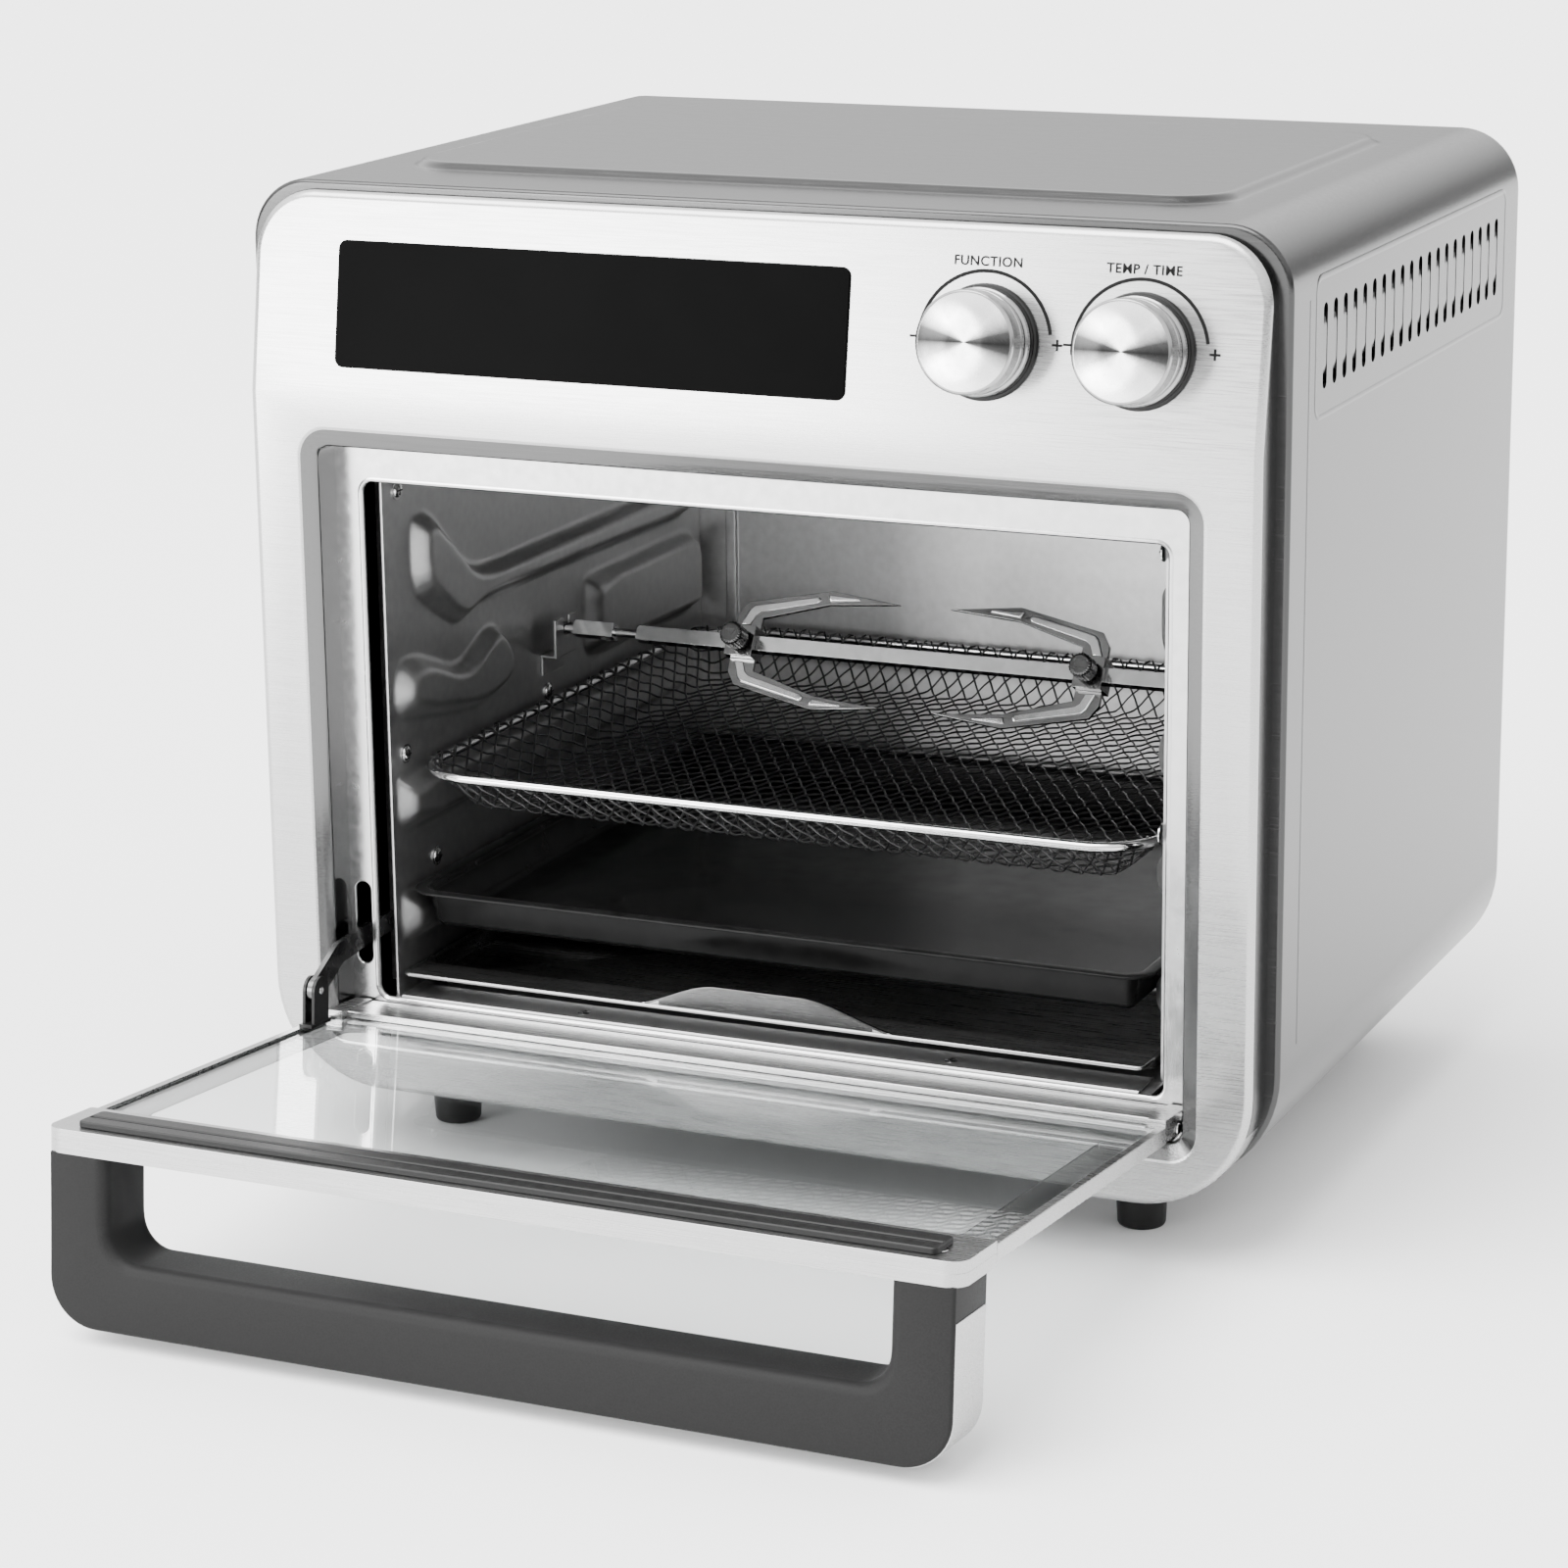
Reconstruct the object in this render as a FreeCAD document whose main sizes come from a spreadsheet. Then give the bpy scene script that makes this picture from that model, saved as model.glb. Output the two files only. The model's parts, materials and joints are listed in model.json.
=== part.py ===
import FreeCAD, Part

import math
import os
from types import SimpleNamespace

import Sketcher
from FreeCAD import Placement, Rotation, Vector

# A countertop rotisserie oven with its drop-down door open, as separate pieces.
# X runs to the right, Y to the back and Z up, in millimetres. The origin is on the
# floor under the middle of the whole outline, door and handle included.

SIZES = {
    # where the oven stands in its own frame
    "face_y": -50.8,           # front face of the bezel
    "sheet": 1.2,               # folded steel
    # casing
    "casing_width": 410.0,
    "casing_top": 378.3,
    "casing_base": 28.0,        # underside, on top of the feet
    "casing_front": 16.0,       # behind the face
    "casing_back": 306.8,
    "top_corner": 24.0,
    "base_corner": 45.0,
    "emboss_rise": 1.0,
    "vent_first": 51.2,
    "vent_pitch": 11.7,
    "vent_low": 316.5,
    "vent_high": 347.0,
    "vent_width": 4.5,
    # bezel
    "bezel_width": 400.0,
    "bezel_base": 23.5,
    "bezel_top": 375.0,
    "crease_height": 300.0,     # above it the control panel leans back
    "lean": 8.8,
    "recess_half": 173.0,
    "recess_low": 48.5,
    "recess_high": 280.0,
    "bevel_half": 180.5,
    "bevel_low": 40.7,
    "bevel_high": 288.0,
    "recess_corner": 4.0,
    "recess_depth": 15.0,
    # cavity
    "mouth_half": 161.7,
    "mouth_low": 60.0,
    "mouth_high": 265.0,
    "wall_half": 155.0,
    "wall_back": 300.0,
    "ceiling": 272.0,
    "rib_depth": 6.0,
    "fan_y": 158.0,
    "heater_height": 73.5,
    "heater_tube": 3.25,
    # feet
    "foot_x": 144.0,
    "foot_front": 43.0,
    "foot_rear": 280.0,
    # door, hung on its hinge
    "door_open": 85.0,          # from shut to the stop
    "hinge_y": 9.5,
    "hinge_height": 56.0,
    "door_half": 172.0,
    "door_top": 215.5,          # above the hinge when shut
    "cap_base": 185.0,
    "glass_half": 169.7,
    "glass_thick": 4.0,
    "pin_radius": 2.2,
    "lug_up": 35.0,
    "lug_out": 14.5,
    "arm_x": 167.5,
    # handle
    "handle_half": 170.0,
    "handle_out": 69.0,
    "handle_grip": 25.5,
    "handle_leg": 23.0,
    "handle_base": 187.0,
    "trim_thick": 1.6,
    # spit
    "spit_y": 155.0,
    "spit_height": 178.6,
    "spit_turn": -29.0,
    "spit_square": 6.0,
    "fork_mirror": 15.2,
    # racks
    "basket_half": 150.0,
    "basket_front": 24.0,
    "basket_back": 292.0,
    "basket_height": 149.0,
    "basket_wire": 1.85,
    "basket_corner": 20.0,
    "pan_height": 101.0,
    "tray_half": 153.0,
    # controls, on the leaning panel
    "display_left": -163.4,
    "display_right": 44.0,
    "display_low": 10.7,
    "display_high": 58.1,
    "dial_first": 95.8,
    "dial_second": 153.5,
    "dial_height": 34.6,
    "dial_radius": 18.4,
    "dial_front": 19.5,
    "dial_press": 1.2,
}

VENT_COUNT = 20
RIB_TOP_UPPER = [(38, 217), (38, 244), (42, 247), (54, 247), (84, 219), (100, 217),
                 (286, 217), (286, 200), (100, 202), (87, 201), (73, 196)]
RIB_NOTCHED = [(22, 170), (22, 190), (38, 194), (53, 188), (73, 180), (98, 192),
               (107, 190), (116, 180), (116, 168), (106, 162), (84, 160)]
RIB_BLOCK = [(184, 158), (184, 190), (190, 194), (286, 194), (294, 188), (294, 160), (288, 157)]
RIB_BASKET = [(20, 124), (20, 145.6), (24, 146.9), (286, 146.9), (286, 124)]
RIB_PAN = [(20, 79), (20, 99.4), (24, 100.7), (286, 100.7), (286, 79)]
WALL_SCREWS = [(151, 152), (30, 155), (52, 108), (30, 259)]
BACK_SCREWS = [(-192, 350), (192, 350), (-192, 200), (192, 200), (-192, 90), (192, 90)]


class Size:
    """A length that carries its value and the spreadsheet expression behind it."""

    def __init__(self, text, value):
        self.text = text
        self.value = value

    def _with(self, sign, other, value):
        return Size(f"({self.text} {sign} {as_size(other).text})", value)

    def __add__(self, other):
        return self._with("+", other, self.value + as_size(other).value)

    def __radd__(self, other):
        return as_size(other) + self

    def __sub__(self, other):
        return self._with("-", other, self.value - as_size(other).value)

    def __rsub__(self, other):
        return as_size(other) - self

    def __mul__(self, other):
        return self._with("*", other, self.value * as_size(other).value)

    def __rmul__(self, other):
        return as_size(other) * self

    def __truediv__(self, other):
        return self._with("/", other, self.value / as_size(other).value)

    def __neg__(self):
        return Size(f"(-{self.text})", -self.value)


def as_size(value):
    return value if isinstance(value, Size) else Size(repr(float(value)), float(value))


def cosine(angle):
    return Size(f"cos({angle.text} * 1 deg)", math.cos(math.radians(angle.value)))


def sine(angle):
    return Size(f"sin({angle.text} * 1 deg)", math.sin(math.radians(angle.value)))


doc = FreeCAD.newDocument("rotisserie_oven")
sheet = doc.addObject("Spreadsheet::Sheet", "dims")
for row, (alias, number) in enumerate(SIZES.items(), 1):
    sheet.set(f"A{row}", alias)
    sheet.set(f"B{row}", str(number))
    sheet.setAlias(f"B{row}", alias)
doc.recompute()
d = SimpleNamespace(**{alias: Size("dims." + alias, number) for alias, number in SIZES.items()})
nodes = []


# ---------------------------------------------------------------- building blocks

def bind(thing, prop, value):
    thing.setExpression(prop, as_size(value).text)


def behind(depth):
    """A depth behind the bezel's face, in the oven's frame."""
    return d.face_y + depth


def move(thing, at, axis=None, angle=0.0):
    """Place a thing at three bound coordinates, turned about one axis."""
    if axis is not None:
        thing.Placement = Placement(Vector(), Rotation(axis, as_size(angle).value))
        if isinstance(angle, Size):
            bind(thing, "Placement.Rotation.Angle", angle)
    for letter, value in zip("xyz", at):
        bind(thing, "Placement.Base." + letter, value)
    return thing


def block(across, depth, height):
    box = doc.addObject("Part::Box", "block")
    for prop, (low, high) in zip(("Length", "Width", "Height"), (across, depth, height)):
        bind(box, prop, as_size(high) - low)
    return move(box, (across[0], depth[0], height[0]))


AXES = {"x": (Vector(0, 1, 0), 90), "y": (Vector(1, 0, 0), -90), "z": (Vector(0, 0, 1), 0)}


def along(axis, start, centre):
    """The point at a distance along one axis, with the other two coordinates given."""
    first, second = centre
    return {"x": (start, first, second), "y": (first, start, second), "z": (first, second, start)}[axis]


def rod(axis, radius, span, centre):
    cylinder = doc.addObject("Part::Cylinder", "rod")
    bind(cylinder, "Radius", radius)
    bind(cylinder, "Height", as_size(span[1]) - span[0])
    direction, turn = AXES[axis]
    return move(cylinder, along(axis, span[0], centre), direction, turn)


def cone(radii, span, centre):
    solid = doc.addObject("Part::Cone", "cone")
    bind(solid, "Radius1", radii[0])
    bind(solid, "Radius2", radii[1])
    bind(solid, "Height", as_size(span[1]) - span[0])
    return move(solid, along("z", span[0], centre))


def group(pieces):
    compound = doc.addObject("Part::Compound", "group")
    compound.Links = pieces
    return compound


def fuse(*pieces):
    fusion = doc.addObject("Part::MultiFuse", "fusion")
    fusion.Shapes = list(pieces)
    return fusion


def cut(base, *tools):
    result = doc.addObject("Part::Cut", "cut")
    result.Base = base
    result.Tool = tools[0] if len(tools) == 1 else fuse(*tools)
    return result


def common(first, second):
    result = doc.addObject("Part::Common", "common")
    result.Base = first
    result.Tool = second
    return result


def node(label, thing):
    thing.Label = label
    nodes.append(thing)
    return thing


# ---------------------------------------------------------------- sketches and pads

PLANES = {"xy": ("XY_Plane", 1), "xz": ("XZ_Plane", -1), "yz": ("YZ_Plane", 1)}


def origin_part(body, role):
    return next(item for item in body.Origin.OriginFeatures if item.Role == role)


def new_sketch(body, plane, offset=0.0):
    role, sign = PLANES[plane]
    sketch = body.newObject("Sketcher::SketchObject", "sketch")
    sketch.AttachmentSupport = [(origin_part(body, role), "")]
    sketch.MapMode = "FlatFace"
    bind(sketch, "AttachmentOffset.Base.z", as_size(offset) * sign)
    return sketch


def hold(sketch, kind, line, value):
    """Tie the start of a line to the sketch's origin by a bound distance."""
    value = as_size(value)
    number = sketch.addConstraint(Sketcher.Constraint(kind, -1, 1, line, 1, value.value))
    sketch.setExpression(f"Constraints[{number}]", value.text)


def draw_rounded(sketch, across, up, low_radius, high_radius):
    """A rectangle with one radius on its two low corners and another on its high ones."""
    left, right = (as_size(value) for value in across)
    low, high = (as_size(value) for value in up)
    small, large = as_size(low_radius).value, as_size(high_radius).value
    x0, x1, y0, y1 = left.value, right.value, low.value, high.value
    first = sketch.GeometryCount
    ends = [((x0 + small, y0), (x1 - small, y0)), ((x1, y0 + small), (x1, y1 - large)),
            ((x1 - large, y1), (x0 + large, y1)), ((x0, y1 - large), (x0, y0 + small))]
    for start, end in ends:
        sketch.addGeometry(Part.LineSegment(Vector(*start, 0), Vector(*end, 0)), False)
    corners = [(x1 - small, y0 + small, small), (x1 - large, y1 - large, large),
               (x0 + large, y1 - large, large), (x0 + small, y0 + small, small)]
    for turn, (x, y, radius) in enumerate(corners):
        start = math.radians(90 * (turn - 1))
        circle = Part.Circle(Vector(x, y, 0), Vector(0, 0, 1), radius)
        sketch.addGeometry(Part.ArcOfCircle(circle, start, start + math.pi / 2), False)
    for side in range(4):
        line, arc, after = first + side, first + 4 + side, first + (side + 1) % 4
        sketch.addConstraint(Sketcher.Constraint("Tangent", line, 2, arc, 1))
        sketch.addConstraint(Sketcher.Constraint("Tangent", arc, 2, after, 1))
        sketch.addConstraint(Sketcher.Constraint(("Horizontal", "Vertical")[side % 2], line))
        radius = as_size(low_radius if side in (0, 3) else high_radius)
        number = sketch.addConstraint(Sketcher.Constraint("Radius", arc, radius.value))
        sketch.setExpression(f"Constraints[{number}]", radius.text)
    hold(sketch, "DistanceY", first, low)
    hold(sketch, "DistanceX", first + 1, right)
    hold(sketch, "DistanceY", first + 2, high)
    hold(sketch, "DistanceX", first + 3, left)


def draw_outline(sketch, points):
    """A closed outline of straight lines, each corner held by two bound distances."""
    first = sketch.GeometryCount
    spots = [Vector(as_size(x).value, as_size(y).value, 0) for x, y in points]
    for start, end in zip(spots, spots[1:] + spots[:1]):
        sketch.addGeometry(Part.LineSegment(start, end), False)
    for index, (x, y) in enumerate(points):
        after = first + (index + 1) % len(points)
        sketch.addConstraint(Sketcher.Constraint("Coincident", first + index, 2, after, 1))
        hold(sketch, "DistanceX", first + index, x)
        hold(sketch, "DistanceY", first + index, y)


def draw_circle(sketch, centre, radius):
    x, y = (as_size(value) for value in centre)
    radius = as_size(radius)
    circle = Part.Circle(Vector(x.value, y.value, 0), Vector(0, 0, 1), radius.value)
    index = sketch.addGeometry(circle, False)
    number = sketch.addConstraint(Sketcher.Constraint("Radius", index, radius.value))
    sketch.setExpression(f"Constraints[{number}]", radius.text)
    for kind, value in (("DistanceX", x), ("DistanceY", y)):
        number = sketch.addConstraint(Sketcher.Constraint(kind, -1, 1, index, 3, value.value))
        sketch.setExpression(f"Constraints[{number}]", value.text)


def rounded(across, up, low_radius, high_radius=None):
    return draw_rounded, (across, up, low_radius, low_radius if high_radius is None else high_radius)


def outline(points):
    return draw_outline, (points,)


def circle(centre, radius):
    return draw_circle, (centre, radius)


def prism(plane, span, *loops):
    """A body with one sketch on an origin plane, padded over a span along the plane's axis."""
    body = doc.addObject("PartDesign::Body", "body")
    sketch = new_sketch(body, plane, span[0])
    for draw, arguments in loops:
        draw(sketch, *arguments)
    pad = body.newObject("PartDesign::Pad", "pad")
    pad.Profile = sketch
    pad.Reversed = plane == "xz"
    bind(pad, "Length", as_size(span[1]) - span[0])
    return body


def pocket(body, plane, *loops):
    """Cut loops right through a body, both ways from an origin plane."""
    sketch = new_sketch(body, plane)
    for draw, arguments in loops:
        draw(sketch, *arguments)
    hole = body.newObject("PartDesign::Pocket", "pocket")
    hole.Profile = sketch
    hole.Type = "ThroughAll"
    hole.SideType = "Symmetric"
    return hole


def repeat_in_row(body, feature, axis, pitch, count):
    pattern = body.newObject("PartDesign::LinearPattern", "row")
    pattern.Originals = [feature]
    pattern.Direction = (origin_part(body, axis), [""])
    bind(pattern, "Length", as_size(pitch) * (count - 1))
    pattern.Occurrences = count
    body.Tip = pattern


def both_sides(make):
    """Make a piece on the left (-1) and on the right (+1), as one group of two solids."""
    return group([make(-1), make(1)])


def side_span(side, near, far):
    """An X span from near to far of the middle, on one side."""
    return (near, far) if side > 0 else (-as_size(far), -as_size(near))


# ---------------------------------------------------------------- casing

def outer_casing():
    half = d.casing_width / 2
    wrap = prism(
        "xz", (behind(d.casing_front), behind(d.casing_back)),
        rounded((-half, half), (d.casing_base, d.casing_top), d.base_corner, d.top_corner),
        rounded((d.sheet - half, half - d.sheet), (d.casing_base + d.sheet, d.casing_top - d.sheet),
                d.base_corner - d.sheet, d.top_corner - d.sheet))
    first = behind(d.vent_first)
    slot = rounded((first, first + d.vent_width), (d.vent_low, d.vent_high), d.vent_width / 2 - 0.05)
    vents = pocket(wrap, "yz", slot)
    repeat_in_row(wrap, vents, "Y_Axis", d.vent_pitch, VENT_COUNT)
    raised = prism("xy", (d.casing_top - 0.4, d.casing_top + d.emboss_rise),
                   rounded((-166, 166), (behind(55), behind(265)), 22))
    hollow = prism("xy", (d.casing_top - 3, d.casing_top + d.emboss_rise - d.sheet),
                   rounded((-164, 164), (behind(57), behind(263)), 20))
    inset = 6.0
    flange = prism(
        "xz", (behind(d.casing_front), behind(d.casing_front) + d.sheet),
        rounded((-half, half), (d.casing_base, d.casing_top), d.base_corner, d.top_corner),
        rounded((inset - half, half - inset), (d.casing_base + inset, d.casing_top - inset),
                d.base_corner - inset, d.top_corner - inset))
    base_gap = block((-150, 150), (behind(20), behind(310)), (d.casing_base - 1, d.casing_base + 2))
    return cut(fuse(wrap, raised, flange), hollow, base_gap, *foot_screw_holes())


def foot_places():
    return [(side * d.foot_x, behind(y)) for side in (-1, 1) for y in (d.foot_front, d.foot_rear)]


def foot_screw_holes():
    return [rod("z", 1.95, (d.casing_base - 16, 31), place) for place in foot_places()]


def feet():
    pads = group([cone((9, 10.5), (0, d.casing_base), place) for place in foot_places()])
    return cut(pads, *foot_screw_holes())


def bottom_panel():
    low = d.casing_base + d.sheet
    plate = prism("xy", (low, low + d.sheet), rounded((-158, 158), (behind(20.5), behind(305)), 6))
    vents = pocket(plate, "xy", rounded((-60, -20), (behind(100), behind(104)), 1.9))
    repeat_in_row(plate, vents, "Y_Axis", 12, 10)
    return cut(plate, *foot_screw_holes())


def back_panel():
    half = d.casing_width / 2
    low = behind(d.casing_back)
    plate = prism("xz", (low, low + d.sheet),
                  rounded((-half, half), (d.casing_base, d.casing_top), d.base_corner, d.top_corner),
                  circle((150, 62), 6.5), *[circle(place, 1.5) for place in BACK_SCREWS])
    vents = pocket(plate, "xz", rounded((-120, -117), (300, 340), 1.45))
    repeat_in_row(plate, vents, "X_Axis", 10, 24)
    return plate


def chassis_screws():
    """Four foot screws and six back panel screws, all the same size."""
    top = d.casing_base + 2 * d.sheet
    screws = [fuse(rod("z", 1.95, (d.casing_base - 14, top), place), rod("z", 3.4, (top, top + 1.6), place))
              for place in foot_places()]
    rear = behind(d.casing_back) + d.sheet
    screws += [fuse(rod("y", 1.5, (rear - 5, rear), place), rod("y", 3.4, (rear, rear + 1.6), place))
               for place in BACK_SCREWS]
    return group(screws)


def cord_gland():
    """The moulded gland that a mains lead would leave the back panel through."""
    rear = behind(d.casing_back) + d.sheet
    centre = (150, 62)
    outside = rod("y", 9, (rear, rear + 4.8), centre)
    neck = rod("y", 6.5, (rear - d.sheet, rear), centre)
    collar = rod("y", 8, (rear - d.sheet - 3, rear - d.sheet), centre)
    return cut(fuse(outside, neck, collar), rod("y", 3.5, (rear - 10, rear + 10), centre))


# ---------------------------------------------------------------- bezel and cavity

def panel_profile(inset):
    """The bezel from the side: upright, then leaning back above the crease, open at the back."""
    top = d.bezel_top - inset
    slope = sine(d.lean) / cosine(d.lean)
    return [(behind(inset), d.bezel_base + inset), (behind(inset), d.crease_height),
            (behind((top - d.crease_height) * slope + inset), top),
            (behind(d.casing_front + inset), top), (behind(d.casing_front + inset), d.bezel_base + inset)]


def bezel_solid(inset):
    half = d.bezel_width / 2 - inset
    side_view = prism("yz", (-half, half), outline(panel_profile(inset)))
    front_view = prism("xz", (behind(inset - 1), behind(d.casing_front + inset)),
                       rounded((-half, half), (d.bezel_base + inset, d.bezel_top - inset),
                               d.base_corner - inset, d.top_corner - inset))
    return common(side_view, front_view)


def bevel():
    """The sloping lead-in round the door recess."""
    sections = []
    for depth, half, low, high, radius in (
            (-0.01, d.bevel_half, d.bevel_low, d.bevel_high, 12.5),
            (2.2, d.recess_half, d.recess_low, d.recess_high, d.recess_corner)):
        section = doc.addObject("Sketcher::SketchObject", "section")
        draw_rounded(section, (-half, half), (low, high), radius, radius)
        sections.append(move(section, (0, behind(depth), 0), Vector(1, 0, 0), 90))
    loft = doc.addObject("Part::Loft", "bevel")
    loft.Sections = sections
    loft.Solid = True
    loft.Ruled = True
    return loft


def lean_back(thing):
    """Move a thing from the control panel's own axes to the leaning panel."""
    return move(group([thing]), (0, behind(0), d.crease_height), Vector(1, 0, 0), -d.lean)


def front_bezel():
    half, low, high = d.recess_half, d.recess_low, d.recess_high
    shell = cut(bezel_solid(as_size(0)), bezel_solid(d.sheet))
    backing = block((-half - 11, half + 11), (behind(0.6), behind(3.2)), (low - 11, high + 11))
    wall = prism("xz", (behind(0.6), behind(d.recess_depth)),
                 rounded((-half - 1.5, half + 1.5), (low - 1.5, high + 1.5), d.recess_corner + 1.5))
    tunnel = prism("xz", (behind(-1), behind(d.recess_depth + 1)),
                   rounded((-half, half), (low, high), d.recess_corner))
    window = prism("xz", (-3, 3), rounded((d.display_left, d.display_right),
                                          (d.display_low, d.display_high), 3.5))
    dial_holes = [rod("y", 4, (-3, 3), (x, d.dial_height)) for x in (d.dial_first, d.dial_second)]
    openings = lean_back(group([window] + dial_holes))
    pin_hole = rod("x", 2.8, (-half - 5, half + 5), (behind(d.hinge_y), d.hinge_height))
    return cut(fuse(shell, backing, wall), tunnel, bevel(), openings, pin_hole)


def cavity_front_frame():
    """Flat frame round the cavity's mouth, slotted at the left for the door's link arm."""
    slot = rounded(side_span(-1, d.arm_x - 3.3, d.arm_x + 3.3), (73, 106), 3.2)
    return prism("xz", (behind(d.recess_depth), behind(d.recess_depth + d.sheet)),
                 rounded((-181, 181), (44, 290), 8),
                 rounded((-d.mouth_half, d.mouth_half), (d.mouth_low, d.mouth_high), 5), slot)


def screw_holes(side, radius):
    return [rod("x", radius, side_span(side, d.wall_half - 4, d.wall_half + 4), (behind(y), z))
            for y, z in WALL_SCREWS]


def heater_rods(radius, reach):
    return [rod("x", radius, (-reach, reach), (behind(y), d.heater_height)) for y in (100, 220)]


def cavity_side_wall(side):
    """Pressed side wall with its rack ribs, a front flange, and holes for what goes through."""
    front = behind(d.recess_depth + d.sheet)
    wall = block(side_span(side, d.wall_half, d.wall_half + d.sheet), (front, behind(d.wall_back)),
                 (d.mouth_low, d.ceiling))
    flange = block(side_span(side, d.wall_half, d.wall_half + 8), (front, front + d.sheet),
                   (d.mouth_low, d.ceiling))
    ribs = [prism("yz", side_span(side, d.wall_half - d.rib_depth, d.wall_half + 0.4),
                  outline([(behind(y), z) for y, z in points]))
            for points in (RIB_TOP_UPPER, RIB_NOTCHED, RIB_BLOCK, RIB_BASKET, RIB_PAN)]
    holes = screw_holes(side, 1.5) + heater_rods(3.4, 170)
    if side > 0:
        holes.append(rod("x", 9, (d.wall_half - 1, d.wall_half + 5), (behind(d.spit_y), d.spit_height)))
    return cut(fuse(wall, flange, *ribs), *holes)


def cavity_screws():
    """Dome screws that hold the side walls to the chassis."""
    def screw(side, y, z):
        inner = d.wall_half
        return fuse(rod("x", 1.5, side_span(side, inner - 0.2, inner + 4), (behind(y), z)),
                    rod("x", 3, side_span(side, inner - 1.6, inner), (behind(y), z)))
    return group([screw(side, y, z) for side in (-1, 1) for y, z in WALL_SCREWS])


def cavity_rear_wall():
    edge = d.wall_half + d.sheet
    plate = block((-edge, edge), (behind(d.wall_back), behind(d.wall_back) + d.sheet),
                  (d.mouth_low - d.sheet, d.ceiling + d.sheet))
    beads = [block(side_span(side, 137, 142), (behind(d.wall_back - 1.8), behind(d.wall_back + 0.4)),
                   (70, 262)) for side in (-1, 1)]
    return fuse(plate, *beads)


def cavity_top():
    edge = d.wall_half + d.sheet
    return prism("xy", (d.ceiling, d.ceiling + d.sheet),
                 rounded((-edge, edge), (behind(d.recess_depth + d.sheet), behind(d.wall_back)), 1),
                 circle((0, behind(d.fan_y)), 92))


def cavity_floor():
    edge = d.wall_half + d.sheet
    return block((-edge, edge), (behind(d.recess_depth + d.sheet), behind(d.wall_back)),
                 (d.mouth_low - d.sheet, d.mouth_low))


# ---------------------------------------------------------------- heat and light

def fan_guard():
    """Perforated disc over the fan, with three rings of holes."""
    centre = behind(d.fan_y)
    disc = prism("xy", (-d.sheet, 0), circle((0.001, 0.001), 98))
    for radius, count in ((25, 10), (48, 20), (70, 30)):
        hole = pocket(disc, "xy", circle((radius, 0.001), 5))
        ring = disc.newObject("PartDesign::PolarPattern", "ring")
        ring.Originals = [hole]
        ring.Axis = (origin_part(disc, "Z_Axis"), [""])
        ring.Angle = 360
        ring.Occurrences = count
        disc.Tip = ring
    return move(disc, (0, centre, d.ceiling))


def fan_housing():
    low = d.ceiling + d.sheet
    centre = (0, behind(d.fan_y))
    outside = rod("z", 100, (low, low + 29), centre)
    inside = rod("z", 98.8, (low - 1, low + 27.8), centre)
    legs = [rod("z", 2.8, (low, low + 40), (side * 80, behind(d.fan_y))) for side in (-1, 1)]
    return cut(outside, inside, rod("z", 6, (low, low + 40), centre), *legs)


def ring_heater():
    height = d.ceiling + 12
    centre = (0, behind(d.fan_y))
    ring = doc.addObject("Part::Torus", "ring")
    bind(ring, "Radius1", 80)
    bind(ring, "Radius2", d.heater_tube)
    move(ring, along("z", height, centre))
    legs = [rod("z", 2.5, (height, height + 28), (side * 80, behind(d.fan_y))) for side in (-1, 1)]
    return fuse(ring, *legs)


def convection_fan():
    low = d.ceiling + 5
    blades = []
    for step in range(8):
        blade = doc.addObject("Part::Box", "blade")
        for prop, value in (("Length", 44), ("Width", 1), ("Height", 13)):
            bind(blade, prop, value)
        turn = Rotation(Vector(0, 0, 1), 45 * step)
        blade.Placement = Placement(turn.multVec(Vector(12, -4, 0)), turn)
        blades.append(blade)
    hub = rod("z", 10, (-4, 15), (0, 0))
    plate = rod("z", 58, (-1.2, 0), (0, 0))
    shaft = rod("z", 3, (-4, 38), (0, 0))
    return move(fuse(hub, plate, shaft, *blades), (0, behind(d.fan_y), low + 4))


def fan_motor():
    low = d.ceiling + d.sheet + 29
    centre = (0, behind(d.fan_y))
    can = rod("z", 27, (low + 4, low + 36), centre)
    bridge = block((-45, 45), (behind(d.fan_y - 8), behind(d.fan_y + 8)), (low, low + 4))
    return cut(fuse(can, bridge), rod("z", 3.06, (low - 1, low + 18), centre),
               rod("z", 6, (low - 1, low + 4), centre))


def lower_heaters():
    return group(heater_rods(d.heater_tube, 162))


def temperature_sensor():
    wall = behind(d.wall_back)
    probe = rod("x", 2.5, (-130, -70), (wall - 6, 264))
    clips = [block((x, x + 4), (wall - 8, wall), (260, 268)) for x in (-122, -84)]
    return fuse(probe, *clips)


# ---------------------------------------------------------------- spit

def turn_spit(thing):
    """Move a thing from the spit's own axes to where the spit hangs, turned as its square is."""
    return move(group([thing]), (0, behind(d.spit_y), d.spit_height), Vector(1, 0, 0), d.spit_turn)


def spit_bracket():
    """Bent hook on the left wall, notched for the spit's round end."""
    y, z = behind(d.spit_y), d.spit_height
    depth = (y - 10, y + 10)
    foot = block((-d.wall_half, 1.2 - d.wall_half), depth, (z - 19, z - 10))
    shelf = block((-d.wall_half, -147.5), depth, (z - 11.2, z - 10))
    hook = block((-148.7, -147.5), depth, (z - 11.2, z + 5))
    notch = block((-149, -147), (y - 2.7, y + 2.7), (z, z + 6))
    return cut(fuse(foot, shelf, hook), notch, rod("x", 2.7, (-149, -147), (y, z)))


def spit_rod():
    half = d.spit_square / 2
    return turn_spit(fuse(rod("x", 2.5, (-151, -143.3), (0, 0)),
                          block((-143.3, -125.3), (-half, half), (-half, half)),
                          rod("x", 1.8, (-125.3, -114.6), (0, 0)),
                          block((-114.6, 153), (-half, half), (-half, half))))


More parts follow.
